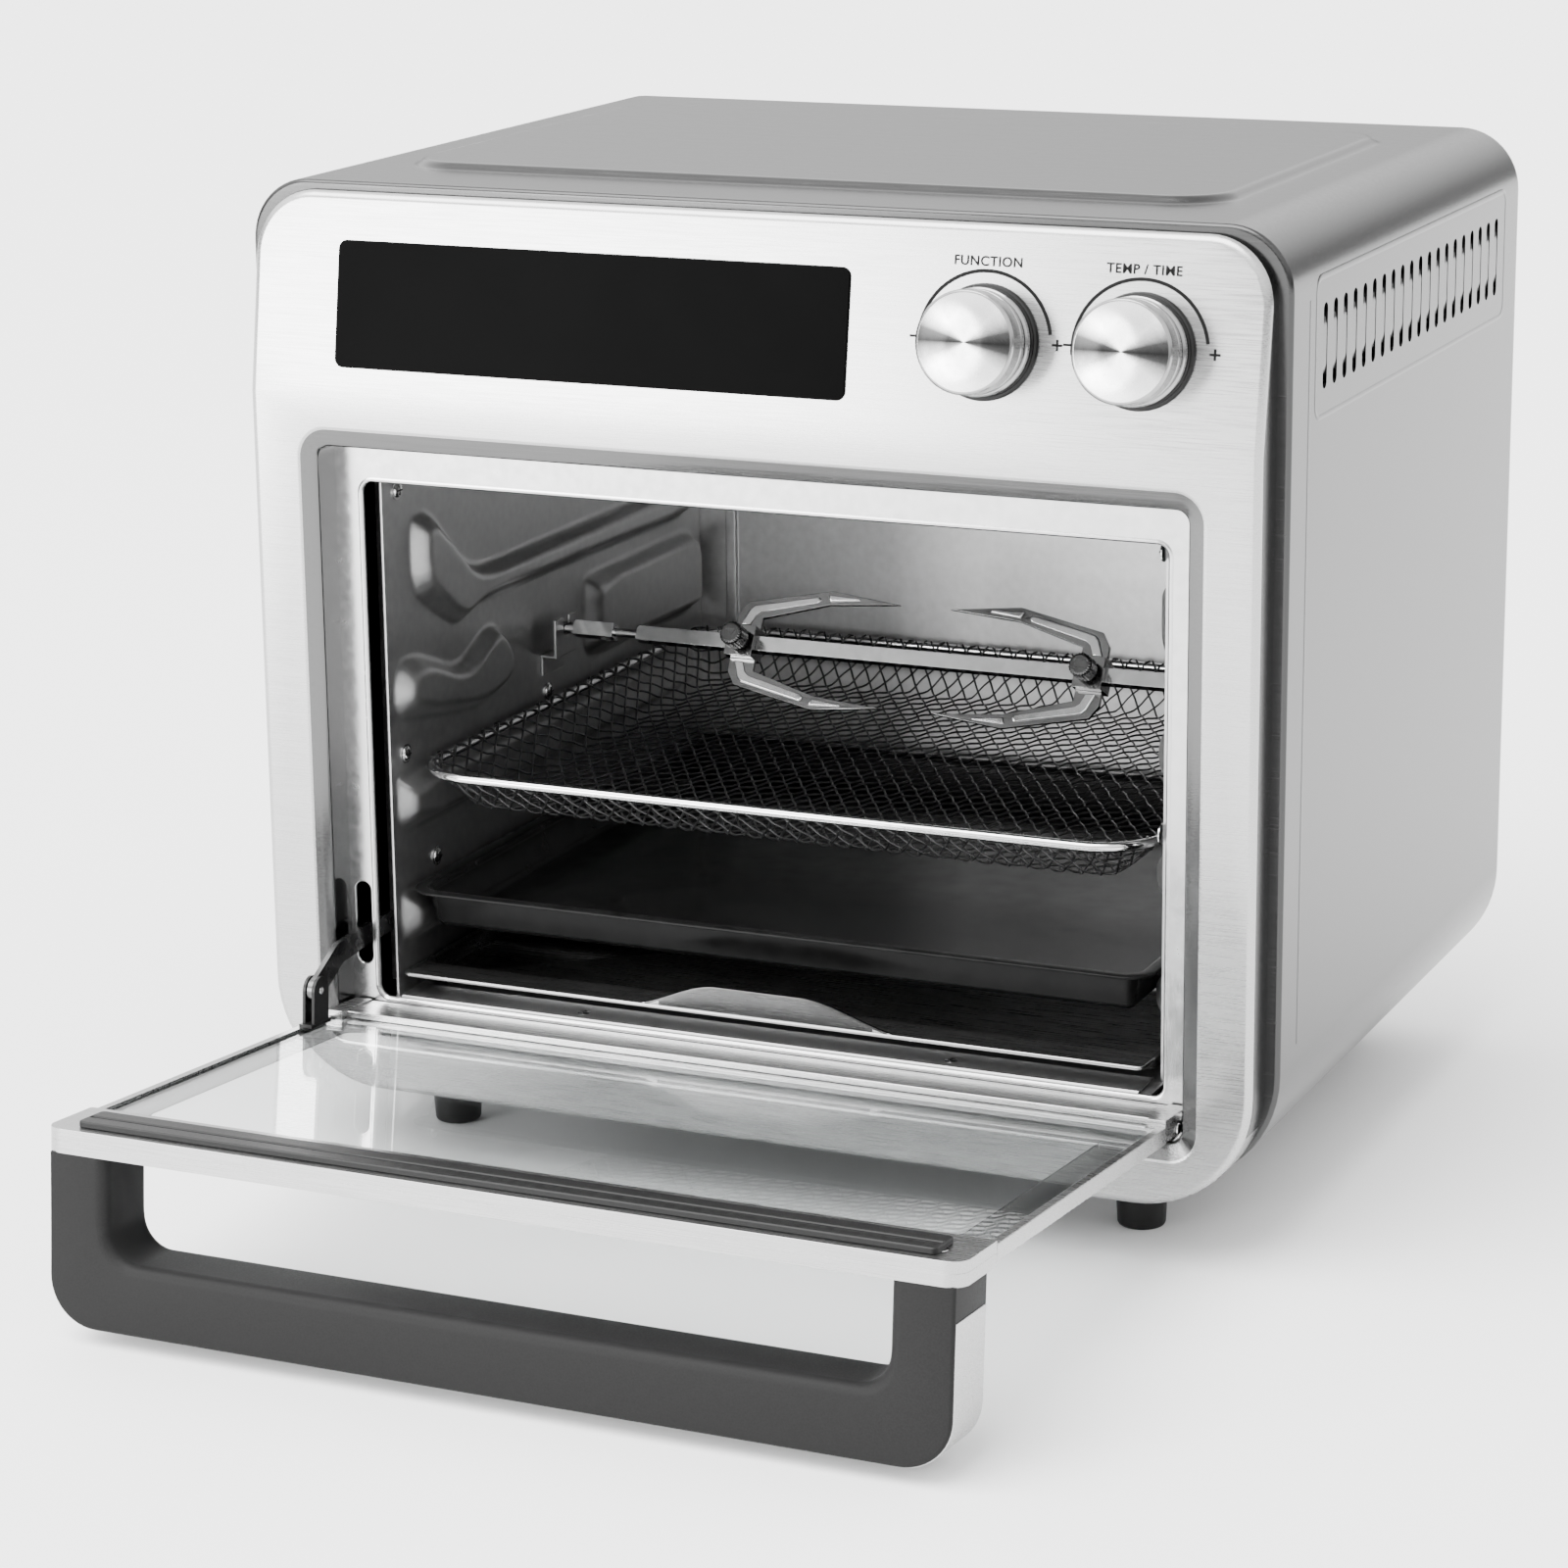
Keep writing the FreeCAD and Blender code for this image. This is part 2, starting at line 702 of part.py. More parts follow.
def square_bore(span):
    half = d.spit_square / 2 + 0.2
    return block(span, (-half, half), (-half, half))


FORK_HALF = [(-72, 12), (-68.5, 17.5), (-33, 24.8), (-3, 21.5), (-33, 19), (-61, 11), (-61, 6)]


def fork_shape(mirrored):
    """Stamped two-prong fork on a drilled hub, in the spit's axes."""
    def place(x, z):
        return (d.fork_mirror - x if mirrored else as_size(x)), z
    points = FORK_HALF + [(x, -z) for x, z in reversed(FORK_HALF)]
    plate = prism("xz", (-1, 1), outline([place(x, z) for x, z in points]))
    ends = sorted((place(-73, 0)[0], place(-61, 0)[0]), key=lambda size: size.value)
    hub = block(ends, (-6, 5), (-6.5, 6.5))
    bore = square_bore((ends[0] - 1, ends[1] + 1))
    screw = rod("z", 2.06, (-7, 0), (0, 0))
    move(screw, (place(-66.8, 0)[0], 0, 0), Vector(1, 0, 0), 90)
    return turn_spit(cut(fuse(plate, hub), bore, screw))


def thumb_screw(mirrored):
    """Knurled screw that clamps a fork to the spit."""
    x = d.fork_mirror + 66.8 if mirrored else as_size(-66.8)
    head = rod("y", 4.7, (-17, -8), (x, 0))
    waist = rod("y", 3.2, (-8, -6.1), (x, 0))
    shank = rod("y", 2, (-6.1, -3.1), (x, 0))
    flutes = [rod("y", 0.45, (-18, -7), (x + 4.7 * math.cos(step * math.pi / 9),
                                         4.7 * math.sin(step * math.pi / 9))) for step in range(18)]
    return turn_spit(cut(fuse(head, waist, shank), *flutes))


def drive_socket():
    hub = rod("x", 8, (143, 159.5), (0, 0))
    return turn_spit(cut(hub, square_bore((142, 155)), rod("x", 3.06, (155.5, 160), (0, 0))))


def rotisserie_motor():
    centre = (behind(d.spit_y), d.spit_height)
    can = rod("x", 22, (161.5, 182), centre)
    plate = block((160, 161.5), (centre[0] - 35, centre[0] + 35), (centre[1] - 12, centre[1] + 12))
    posts = [rod("x", 3, (d.wall_half + d.sheet, 160), (centre[0] + y, centre[1])) for y in (-29, 29)]
    return fuse(can, plate, rod("x", 3, (155.6, 161), centre), *posts)


# ---------------------------------------------------------------- racks

def basket_rim():
    """Round wire bent to a rectangle with rounded corners."""
    half, front, back = d.basket_half, behind(d.basket_front), behind(d.basket_back)
    bend, z = d.basket_corner, d.basket_height
    straights = [rod("x", d.basket_wire, (bend - half, half - bend), (y, z)) for y in (front, back)]
    straights += [rod("y", d.basket_wire, (front + bend, back - bend), (side * half, z)) for side in (-1, 1)]
    bends = []
    for turn, (x, y) in enumerate(((half - bend, back - bend), (bend - half, back - bend),
                                   (bend - half, front + bend), (half - bend, front + bend))):
        corner = doc.addObject("Part::Torus", "bend")
        bind(corner, "Radius1", bend)
        bind(corner, "Radius2", d.basket_wire)
        corner.Angle3 = 90
        bends.append(move(corner, (x, y, z), Vector(0, 0, 1), 90 * turn))
    return fuse(*straights, *bends)


def tub(outside, inside, lip):
    """Shallow tub with a flat lip, each given as (half width, front, back, low, high, corner)."""
    solids = []
    for half, front, back, low, high, radius in (outside, inside, lip):
        solids.append(prism("xy", (low, high), rounded((-half, half), (behind(front), behind(back)), radius)))
    return cut(fuse(solids[0], solids[2]), solids[1])


def basket_mesh():
    low, high = d.basket_height - 18, d.basket_height - 1
    return tub((146, 28, 288, low, high, 18), (144.8, 29.2, 286.8, low + 1.2, high + 1, 16.8),
               (148.6, 25.4, 290.6, high - 0.7, high, 18.6))


def baking_pan():
    low, high = d.pan_height - 15, d.pan_height + 1.2
    return tub((146, 26, 288, low, high, 18), (145, 27, 287, low + 1, high + 1, 17),
               (151.5, 21.5, 292, high - 1.2, high, 20))


def crumb_tray():
    """Flat tray with a low lip all round and an arched pull at the front."""
    half, low = d.tray_half, d.mouth_low + 0.6
    front, back = behind(17.4), behind(296)
    floor = block((-half, half), (front, back), (low, low + 1))
    sides = [block(side_span(side, half - 1, half), (front, back), (low, 67)) for side in (-1, 1)]
    rear = block((-half, half), (back - 1, back), (low, 67))
    face = block((-half, half), (front, front + 1.2), (low, 70))
    arch_radius, arch_top = 127.6, 80.2
    arch = common(block((-50, 50), (front, front + 1.2), (69, 82)),
                  rod("y", arch_radius, (front, front + 1.2), (0, arch_top - arch_radius)))
    return fuse(floor, rear, face, arch, *sides)


# ---------------------------------------------------------------- door, drawn shut about its hinge

def hang(thing):
    """Hang a thing drawn shut, with the hinge line at its origin, on the open door."""
    return move(group([thing]), (0, behind(d.hinge_y), d.hinge_height), Vector(1, 0, 0), d.door_open)


def door_glass():
    """Toughened pane with its lower corners notched round the hinge blocks."""
    half, tongue = d.glass_half, as_size(163.8)
    points = [(-half, 20.5), (-tongue, 20.5), (-tongue, 8), (tongue, 8), (tongue, 20.5), (half, 20.5),
              (half, 190), (-half, 190)]
    return hang(prism("xz", (-d.glass_thick, 0), outline(points)))


def door_side_rails():
    def rail(side):
        outer = block(side_span(side, d.glass_half + 0.1, d.door_half), (-5.2, 1), (20, d.cap_base))
        lips = [block(side_span(side, 168.6, 171), depth, (20.6, d.cap_base)) for depth in ((0, 1), (-5.2, -4))]
        return fuse(outer, *lips)
    return hang(both_sides(rail))


def door_bottom_rail():
    rail = block((-164.5, 164.5), (-5.5, 2.5), (-4.5, 16))
    return hang(cut(rail, block((-164, 164), (-d.glass_thick - 0.05, 0.05), (7.9, 17))))


def cap_half(depth):
    """One half of the cap along the door's top edge, slotted for the pane."""
    cap = prism("xz", depth, rounded((-d.door_half, d.door_half), (d.cap_base, d.door_top), 1, 7))
    slot = block((-170.2, 170.2), (-d.glass_thick - 0.05, 0.05), (d.cap_base - 1, 190.1))
    return cut(cap, slot, *handle_screw_solids(0.0))


def door_top_trim():
    return hang(cap_half((-6.5, -2)))


def door_top_cover():
    return hang(cap_half((-2, 2.2)))


def door_gasket():
    strip = prism("xz", (2.2, 4.6), rounded((-161, 161), (195, 211), 2))
    return hang(cut(strip, block((-160, 160), (3.4, 5), (202.6, 204.2))))


def handle_screw_solids(shrink):
    """Two screws from inside the cap into the handle's legs."""
    screws = []
    for side in (-1, 1):
        centre = (side * 158.5, 203.4)
        screws += [rod("y", 2.0 - shrink, (-30, 2.2), centre), rod("y", 3.6 - shrink, (0.4, 2.2), centre)]
    return screws


def handle_screws():
    left_shank, left_head, right_shank, right_head = handle_screw_solids(0.02)
    return hang(group([fuse(left_shank, left_head), fuse(right_shank, right_head)]))


def handle_loop(inset, near):
    """The handle's outline seen from its end, from the far face up to a near face."""
    half = d.handle_half - inset
    return rounded((-half, half), (inset - d.handle_out, near), 18 - as_size(inset), 0.4)


TRIM_START = -18.3


def handle_core():
    height = (d.handle_base, d.door_top)
    over = (d.handle_base - 1, d.door_top + 1)
    body = prism("xy", height, handle_loop(0, -6.5))
    gap_half = d.handle_half - d.handle_leg
    gap = prism("xy", over, rounded((-gap_half, gap_half), (d.handle_grip - d.handle_out, 2), 12, 0.4))
    shaved = cut(prism("xy", over, rounded((-175, 175), (-75, TRIM_START), 0.5)),
                 prism("xy", (d.handle_base - 2, d.door_top + 2), handle_loop(d.trim_thick, 5)))
    return hang(cut(body, gap, shaved, *handle_screw_solids(0.0)))


def handle_trim():
    """Brushed strip round the outside of the handle."""
    height = (d.handle_base, d.door_top)
    over = (d.handle_base - 1, d.door_top + 1)
    return hang(cut(prism("xy", height, handle_loop(0, TRIM_START - 0.7)),
                    prism("xy", over, handle_loop(d.trim_thick, 5))))


def hinge_blocks():
    """Cast end pieces of the bottom rail, bored for the hinge pins."""
    def end(side):
        solid = block(side_span(side, 164.5, 171.4), (-5, 3.2), (-3.8, 20))
        return cut(solid, rod("x", d.pin_radius, side_span(side, 165.5, 175), (0, 0)))
    return hang(both_sides(end))


def door_pins():
    """The pins the door and its link arm turn on, and a rivet in each hinge block."""
    pins = [rod("x", 1.5, side_span(-1, 164.7, 170.3), (d.lug_out, d.lug_up))]
    for side in (-1, 1):
        pins += [rod("x", d.pin_radius, side_span(side, 165.5, 177.6), (0, 0)),
                 rod("x", 2, side_span(side, 171.4, 172.2), (-2.7, 6.5))]
    return hang(group(pins))


def hinge_supports():
    def support(side):
        span = side_span(side, d.recess_half + 1.8, 178)
        solid = block(span, (behind(3.4), behind(d.recess_depth)), (48, 64))
        return cut(solid, rod("x", d.pin_radius + 0.05, span, (behind(d.hinge_y), d.hinge_height)))
    return both_sides(support)


def door_lug():
    """A forked lug at the left of the door that carries the link arm."""
    base = block(side_span(-1, 164.6, 170.2), (1, 2.4), (28, 43))
    cheeks = []
    for near, far in ((164.9, 166.1), (168.9, 170.1)):
        span = side_span(-1, near, far)
        cheeks += [block(span, (2, d.lug_out), (d.lug_up - 5.5, d.lug_up + 5.5)),
                   rod("x", 5.5, span, (d.lug_out, d.lug_up))]
    pin = rod("x", 1.5, side_span(-1, 164, 171), (d.lug_out, d.lug_up))
    return hang(cut(fuse(base, *cheeks), pin))


def lug_pin_place():
    """The lug pin's Y and Z with the door open."""
    y = behind(d.hinge_y) + d.lug_out * cosine(d.door_open) - d.lug_up * sine(d.door_open)
    z = d.hinge_height + d.lug_out * sine(d.door_open) + d.lug_up * cosine(d.door_open)
    return y, z


def link_arm():
    """Flat arm from the lug through the frame's slot, ending at the spring hole."""
    span = side_span(-1, d.arm_x - 1, d.arm_x + 1)
    points = [(3, -4), (20, 5.3), (40, 7), (101, 7), (101, 15), (38, 15), (16.5, 13.8), (-3.5, 3.5)]
    blade = fuse(prism("yz", span, outline(points)), rod("x", 5, span, (0, 0)))
    arm = cut(blade, rod("x", 1.56, span, (0, 0)), rod("x", 1.5, span, (96, 11)))
    return move(arm, (0,) + lug_pin_place())


def door_spring():
    """Coil spring that balances the door, drawn as the tube its coils fill."""
    y, z = lug_pin_place()
    centre = (-d.arm_x, z + 11)
    span = (y + 101.5, y + 172)
    return cut(rod("y", 3.5, span, centre), rod("y", 2.6, (span[0] - 1, span[1] + 1), centre))


def spring_anchor():
    y, z = lug_pin_place()
    return block(side_span(-1, d.wall_half + d.sheet, 170), (y + 172.2, y + 175), (z + 6, z + 16))


# ---------------------------------------------------------------- controls, drawn on an upright panel

DIALS = {"function": d.dial_first, "time": d.dial_second}


def display_glass():
    return lean_back(prism("xz", (-0.8, d.sheet), rounded((d.display_left, d.display_right),
                                                          (d.display_low, d.display_high), 3.5)))


def control_board():
    """Circuit board with the display module it carries."""
    module = block((d.display_left + 5, d.display_right - 5), (d.sheet + 0.2, 12),
                   (d.display_low + 3, d.display_high - 3))
    return lean_back(fuse(block((-150, 185), (12, 13.6), (8, 61)), module))


def encoders():
    housings = []
    for x in DIALS.values():
        case = block((x - 6.5, x + 6.5), (4, 12), (d.dial_height - 6.5, d.dial_height + 6.5))
        bush = rod("y", 3.9, (-1, 5), (x, d.dial_height))
        housings.append(cut(fuse(case, bush), rod("y", 3.06, (-2, 11.5), (x, d.dial_height))))
    return lean_back(group(housings))


def dial_rings():
    """Stepped collars on the panel, one behind each dial."""
    rings = []
    for x in DIALS.values():
        centre = (x, d.dial_height)
        rings.append(cut(fuse(rod("y", 20.2, (-1.6, 0), centre), rod("y", 19.2, (-3.2, -1.6), centre)),
                         rod("y", 8, (-4, 1), centre)))
    return lean_back(group(rings))


def plunger(x):
    return lean_back(rod("y", 3, (9.1, 10.1), (x, d.dial_height)))


def encoder_shaft(x):
    return lean_back(rod("y", 3, (-14, 9), (x, d.dial_height)))


def dial(x):
    """Spun metal dial: a cap on a wider skirt."""
    centre = (x, d.dial_height)
    solid = fuse(rod("y", d.dial_radius, (-d.dial_front, -8.6), centre),
                 rod("y", d.dial_radius - 1.2, (-8.6, -7.6), centre),
                 rod("y", d.dial_radius + 0.7, (-7.6, -4.6), centre))
    return lean_back(cut(solid, rod("y", 3, (-14, -4), centre), rod("y", 12, (-7, -4), centre)))


# ---------------------------------------------------------------- the whole oven

SINGLE = (
    outer_casing, back_panel, bottom_panel, feet, chassis_screws, cord_gland, front_bezel,
    cavity_front_frame, cavity_screws, cavity_rear_wall, cavity_top, cavity_floor, fan_guard,
    fan_housing, ring_heater, convection_fan, fan_motor, lower_heaters, temperature_sensor,
    spit_bracket, spit_rod, drive_socket, rotisserie_motor, basket_rim,
    basket_mesh, baking_pan, crumb_tray, door_glass, door_side_rails, door_bottom_rail,
    door_top_trim, door_top_cover, door_gasket, handle_core, handle_trim, handle_screws,
    hinge_blocks, door_pins, hinge_supports, door_lug, link_arm, door_spring, spring_anchor,
    display_glass, control_board, encoders, dial_rings)
for make in SINGLE:
    node(make.__name__, make())
for side_name, side_sign in (("left", -1), ("right", 1)):
    node(f"cavity_{side_name}_wall", cavity_side_wall(side_sign))
    node(f"fork_{side_name}", fork_shape(side_sign > 0))
    node(f"thumb_screw_{side_name}", thumb_screw(side_sign > 0))
for dial_name, dial_x in DIALS.items():
    node(f"{dial_name}_dial", dial(dial_x))

# The shaft turns with its dial, and the plunger only moves in and out.
node("encoder_shaft_function", encoder_shaft(d.dial_first))
node("encoder_shaft_time", encoder_shaft(d.dial_second))
node("plunger_function", plunger(d.dial_first))
node("plunger_time", plunger(d.dial_second))

doc.recompute()
faults = [item.Name for item in doc.Objects if {"Invalid", "Error"} & set(item.State)]
faults += [item.Label for item in nodes if item.Shape.isNull() or not item.Shape.isValid()]
if faults:
    raise RuntimeError("could not build: " + ", ".join(faults))
os.makedirs("parts", exist_ok=True)
for item in nodes:
    item.Shape.exportStep(f"parts/{item.Label}.step")
outline_box = FreeCAD.BoundBox()
for item in nodes:
    outline_box.add(item.Shape.BoundBox)
print(len(nodes), "nodes; outline", outline_box)
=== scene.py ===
import json
import math

import bmesh
import bpy
import numpy as np
from mathutils import Matrix, Vector
from mathutils.geometry import delaunay_2d_cdt


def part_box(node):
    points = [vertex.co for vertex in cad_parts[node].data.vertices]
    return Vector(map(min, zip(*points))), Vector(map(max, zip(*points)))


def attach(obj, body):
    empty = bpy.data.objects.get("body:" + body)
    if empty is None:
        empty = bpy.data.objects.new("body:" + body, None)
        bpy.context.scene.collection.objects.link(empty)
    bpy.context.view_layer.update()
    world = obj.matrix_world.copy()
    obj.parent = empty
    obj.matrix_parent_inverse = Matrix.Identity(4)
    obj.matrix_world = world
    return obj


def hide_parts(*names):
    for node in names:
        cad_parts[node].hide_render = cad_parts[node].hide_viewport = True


# The looks of a countertop rotisserie oven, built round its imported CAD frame.
# Shapes are drawn in millimetres, each in the axes of the part of the oven it belongs to.

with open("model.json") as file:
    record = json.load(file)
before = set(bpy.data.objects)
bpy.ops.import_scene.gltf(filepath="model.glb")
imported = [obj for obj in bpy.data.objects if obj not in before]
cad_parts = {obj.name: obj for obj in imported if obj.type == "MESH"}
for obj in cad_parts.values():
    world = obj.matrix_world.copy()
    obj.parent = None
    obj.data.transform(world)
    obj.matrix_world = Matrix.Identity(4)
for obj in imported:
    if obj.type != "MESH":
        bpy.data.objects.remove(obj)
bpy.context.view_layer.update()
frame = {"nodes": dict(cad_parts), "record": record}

MM = 0.001
LEAN = math.radians(8.8)
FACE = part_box("front_bezel")[0][1] / MM
HINGE = (0, FACE + 9.5, 56)
PANEL_FOOT = 300                              # height where the panel starts to lean back
TOP = 378.3                                   # height of the casing's flat top
CASING_HALF, WALL_HALF = 205, 155             # half widths of the casing and of the cavity
CASING_FRONT, CASING_BACK = 17.8, 306.8       # depths behind the face
SPIT_DEPTH, SPIT_HEIGHT = 155, 178.6
DIAL_PLACES, DIAL_UP = (95.8, 153.5), 34.6    # x of each dial, and way up the panel


def axes(origin, turn=0.0):
    """The axes of one part of the oven: its origin, and its turn about X."""
    return Matrix.Translation(Vector(origin) * MM) @ Matrix.Rotation(turn, 4, "X")


OVEN = axes((0, FACE, 0))                          # x, depth behind the face, height
PANEL = axes((0, FACE, PANEL_FOOT), -LEAN)         # x, depth behind the panel, way up the slope
DOOR = axes(HINGE, math.radians(85))               # x, towards the oven, way up the door when shut
SPIT = axes((0, FACE + SPIT_DEPTH, SPIT_HEIGHT), math.radians(-29))


# ---------------------------------------------------------------- materials

def new_material(name, colour, metallic=0.0, roughness=0.5, **sockets):
    material = bpy.data.materials.new(name)
    material.use_nodes = True
    shader = material.node_tree.nodes["Principled BSDF"]
    shader.inputs["Base Color"].default_value = (*colour, 1)
    shader.inputs["Metallic"].default_value = metallic
    shader.inputs["Roughness"].default_value = roughness
    for socket, value in sockets.items():
        shader.inputs[socket.replace("_", " ")].default_value = value
    return material


def map_range(tree, from_low, from_high, to_low, to_high):
    node = tree.nodes.new("ShaderNodeMapRange")
    node.inputs["From Min"].default_value = from_low
    node.inputs["From Max"].default_value = from_high
    node.inputs["To Min"].default_value = to_low
    node.inputs["To Max"].default_value = to_high
    return node


def colour_ramp(tree, stops):
    """A colour ramp through (position, colour) stops."""
    node = tree.nodes.new("ShaderNodeValToRGB")
    for position, _ in stops[1:-1]:
        node.color_ramp.elements.new(position)
    for element, (position, colour) in zip(node.color_ramp.elements, stops):
        element.position = position
        element.color = (*colour, 1)
    return node


def grain(material, scale, roughness, bump=0.0, tint=None, distance=0.0001):
    """Noise in the object's own axes that varies roughness, height and colour."""
    tree = material.node_tree
    shader = tree.nodes["Principled BSDF"]
    place = tree.nodes.new("ShaderNodeTexCoord")
    stretch = tree.nodes.new("ShaderNodeMapping")
    stretch.inputs["Scale"].default_value = scale
    noise = tree.nodes.new("ShaderNodeTexNoise")
    noise.inputs["Scale"].default_value = 1.0
    noise.inputs["Detail"].default_value = 4.0
    tree.links.new(place.outputs["Object"], stretch.inputs["Vector"])
    tree.links.new(stretch.outputs["Vector"], noise.inputs["Vector"])
    spread = map_range(tree, 0.25, 0.75, *roughness)
    tree.links.new(noise.outputs["Fac"], spread.inputs["Value"])
    tree.links.new(spread.outputs["Result"], shader.inputs["Roughness"])
    if tint:
        ramp = colour_ramp(tree, ((0.3, tint[0]), (0.7, tint[1])))
        tree.links.new(noise.outputs["Fac"], ramp.inputs["Fac"])
        tree.links.new(ramp.outputs["Color"], shader.inputs["Base Color"])
    if bump:
        height = tree.nodes.new("ShaderNodeBump")
        height.inputs["Strength"].default_value = bump
        height.inputs["Distance"].default_value = distance
        tree.links.new(noise.outputs["Fac"], height.inputs["Height"])
        tree.links.new(height.outputs["Normal"], shader.inputs["Normal"])
    return material


def grey(value):
    return value, value, value


def brushed(name, value, roughness):
    """Steel brushed along X."""
    material = new_material(name, grey(value), 1.0, roughness)
    return grain(material, (45, 1900, 1900), (roughness - 0.05, roughness + 0.07), 0.25,
                 (grey(value * 0.93), grey(min(1.0, value * 1.05))), distance=0.00004)


def sheet_metal(name, value, roughness):
    """Plain pressed sheet with a faint mottle."""
    material = new_material(name, grey(value), 1.0, roughness)
    return grain(material, (260, 260, 260), (roughness - 0.04, roughness + 0.06), 0.12,
                 (grey(value * 0.92), grey(min(1.0, value * 1.06))), distance=0.00005)


def spun_with_painted_highlights(name, value):
    """Metal turned on a lathe, with anisotropic shading round the middle; its base colour is also
    painted with bright wedges above and below and dark wedges at the sides, a painted highlight that
    fans out from the middle.
    """
    material = new_material(name, grey(value), 1.0, 0.26, Anisotropic=0.96)
    tree = material.node_tree
    tangent = tree.nodes.new("ShaderNodeTangent")
    tangent.direction_type = "RADIAL"
    tangent.axis = "Y"
    tree.links.new(tangent.outputs["Tangent"], tree.nodes["Principled BSDF"].inputs["Tangent"])
    place = tree.nodes.new("ShaderNodeTexCoord")
    turn = tree.nodes.new("ShaderNodeMapping")
    turn.inputs["Rotation"].default_value = (math.radians(90), 0, 0)
    # Painted highlight: a radial gradient through the colour ramp paints bright wedges above and below
    # and dark wedges at the sides into the base colour.
    painted_highlight_fan = tree.nodes.new("ShaderNodeTexGradient")
    painted_highlight_fan.gradient_type = "RADIAL"
    stops = ((0.0, 0.02), (0.045, 0.06), (0.08, 0.45), (0.12, 1.0), (0.38, 1.0), (0.43, 0.4),
             (0.46, 0.06), (0.5, 0.02), (0.53, 0.06), (0.60, 1.0), (0.89, 1.0), (0.94, 0.3),
             (1.0, 0.02))
    ramp = colour_ramp(tree, [(position, grey(value * share)) for position, share in stops])
    tree.links.new(place.outputs["Object"], turn.inputs["Vector"])
    tree.links.new(turn.outputs["Vector"], painted_highlight_fan.inputs["Vector"])
    tree.links.new(painted_highlight_fan.outputs["Fac"], ramp.inputs["Fac"])
    tree.links.new(ramp.outputs["Color"], tree.nodes["Principled BSDF"].inputs["Base Color"])
    return grain(material, (500, 500, 500), (0.24, 0.30))


def plastic(name, value, roughness, specular=0.25):
    """Moulded plastic or rubber with a fine texture."""
    material = new_material(name, grey(value), 0.0, roughness, Specular_IOR_Level=specular)
    return grain(material, (1500, 1500, 1500), (roughness - 0.05, roughness + 0.08), 0.3,
                 (grey(value * 0.85), grey(value * 1.15)), distance=0.00005)


BRIGHT = brushed("steel_bezel", 0.42, 0.27)
# Darker, glossier copy of the bezel steel for the walls of the door recess: painted shade.
RECESS_PAINTED_SHADE = brushed("steel_recess_painted_shade", 0.12, 0.16)
CASING = brushed("steel_casing", 0.054, 0.22)
FRAME = sheet_metal("steel_frame", 0.52, 0.22)
CAVITY = sheet_metal("aluminised_cavity", 0.38, 0.42)
# Lighter copy of the cavity sheet for the rear wall: painted light.
BACK_PAINTED_LIGHT = sheet_metal("cavity_back_painted_light", 0.62, 0.40)
ZINC = sheet_metal("zinc_sheet", 0.34, 0.36)
POLISHED = sheet_metal("polished_steel", 0.60, 0.12)
FORK = brushed("fork_steel", 0.20, 0.14)
WIRE = sheet_metal("mesh_wire", 0.13, 0.33)
TRAY = brushed("tray_steel", 0.30, 0.28)
PULL = brushed("tray_pull", 0.045, 0.24)
ARM = sheet_metal("dark_arm", 0.10, 0.25)
ENAMEL = grain(new_material("black_enamel", grey(0.003), 0.0, 0.16, IOR=1.14), (90, 90, 90),
               (0.14, 0.26), 0.08, (grey(0.004), grey(0.008)))
RUBBER = plastic("black_rubber", 0.006, 0.45)
GRIP = plastic("soft_grip", 0.012, 0.5, 0.08)
BLACK = plastic("black_plastic", 0.005, 0.35)
HEATER = sheet_metal("heater_sheath", 0.16, 0.45)
DIAL = spun_with_painted_highlights("spun_dial_painted_highlights", 0.85)
DIAL_SIDE = sheet_metal("turned_side", 0.30, 0.16)
DISPLAY = grain(new_material("display_window", grey(0.0012), 0.0, 0.2, Specular_IOR_Level=0.008),
                (30, 30, 30), (0.18, 0.24))
INK = grain(new_material("printed_ink", grey(0.01), 0.0, 0.6, Specular_IOR_Level=0.05), (900, 900, 900),
            (0.5, 0.7))
FRIT = grain(new_material("glass_border", grey(0.03), 0.0, 0.2, Alpha=0.45), (60, 60, 60), (0.15, 0.25))
BOARD = grain(new_material("circuit_board", (0.01, 0.10, 0.04), 0.0, 0.5), (200, 200, 200), (0.4, 0.6))
PANE = grain(new_material("door_pane", (0.88, 0.90, 0.90), 0.0, 0.0, Transmission_Weight=1.0, IOR=1.5),
             (60, 60, 60), (0.0, 0.012))

SLOT_FINISH = {
    "casing_steel": CASING, "bezel_steel": BRIGHT, "galvanised": ZINC, "cavity_sheet": CAVITY,
    "frame_sheet": FRAME, "heater": HEATER, "chromed_wire": POLISHED, "spit_steel": POLISHED,
    "fork_steel": FORK, "screw_steel": POLISHED, "mesh_steel": WIRE, "black_enamel": ENAMEL,
    "tray_steel": TRAY, "pane": PANE, "door_steel": BRIGHT, "black_rubber": RUBBER,
    "soft_grip": GRIP, "handle_steel": BRIGHT, "black_plastic": BLACK, "dial_metal": DIAL,
    "dial_collar": BLACK, "display": DISPLAY, "board": BOARD, "motor_steel": ZINC,
    "spring_steel": HEATER,
}
NODE_SLOT = {part["node"]: part["material_slot"] for part in frame["record"]["subparts"]}
NODE_BODY = {node: body for body, nodes in frame["record"]["behaviour"]["bodies"].items()
             for node in nodes}


def finish_of(node):
    return SLOT_FINISH[NODE_SLOT[node]]


for node, thing in frame["nodes"].items():
    thing.data.materials.clear()
    thing.data.materials.append(finish_of(node))


# ---------------------------------------------------------------- mesh helpers

def register(thing, node, finish=None):
    """Ride on the body of a CAD node, stand in for it and take its finish."""
    thing.data.materials.append(finish or finish_of(node))
    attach(thing, NODE_BODY[node])
    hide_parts(node)
    return thing


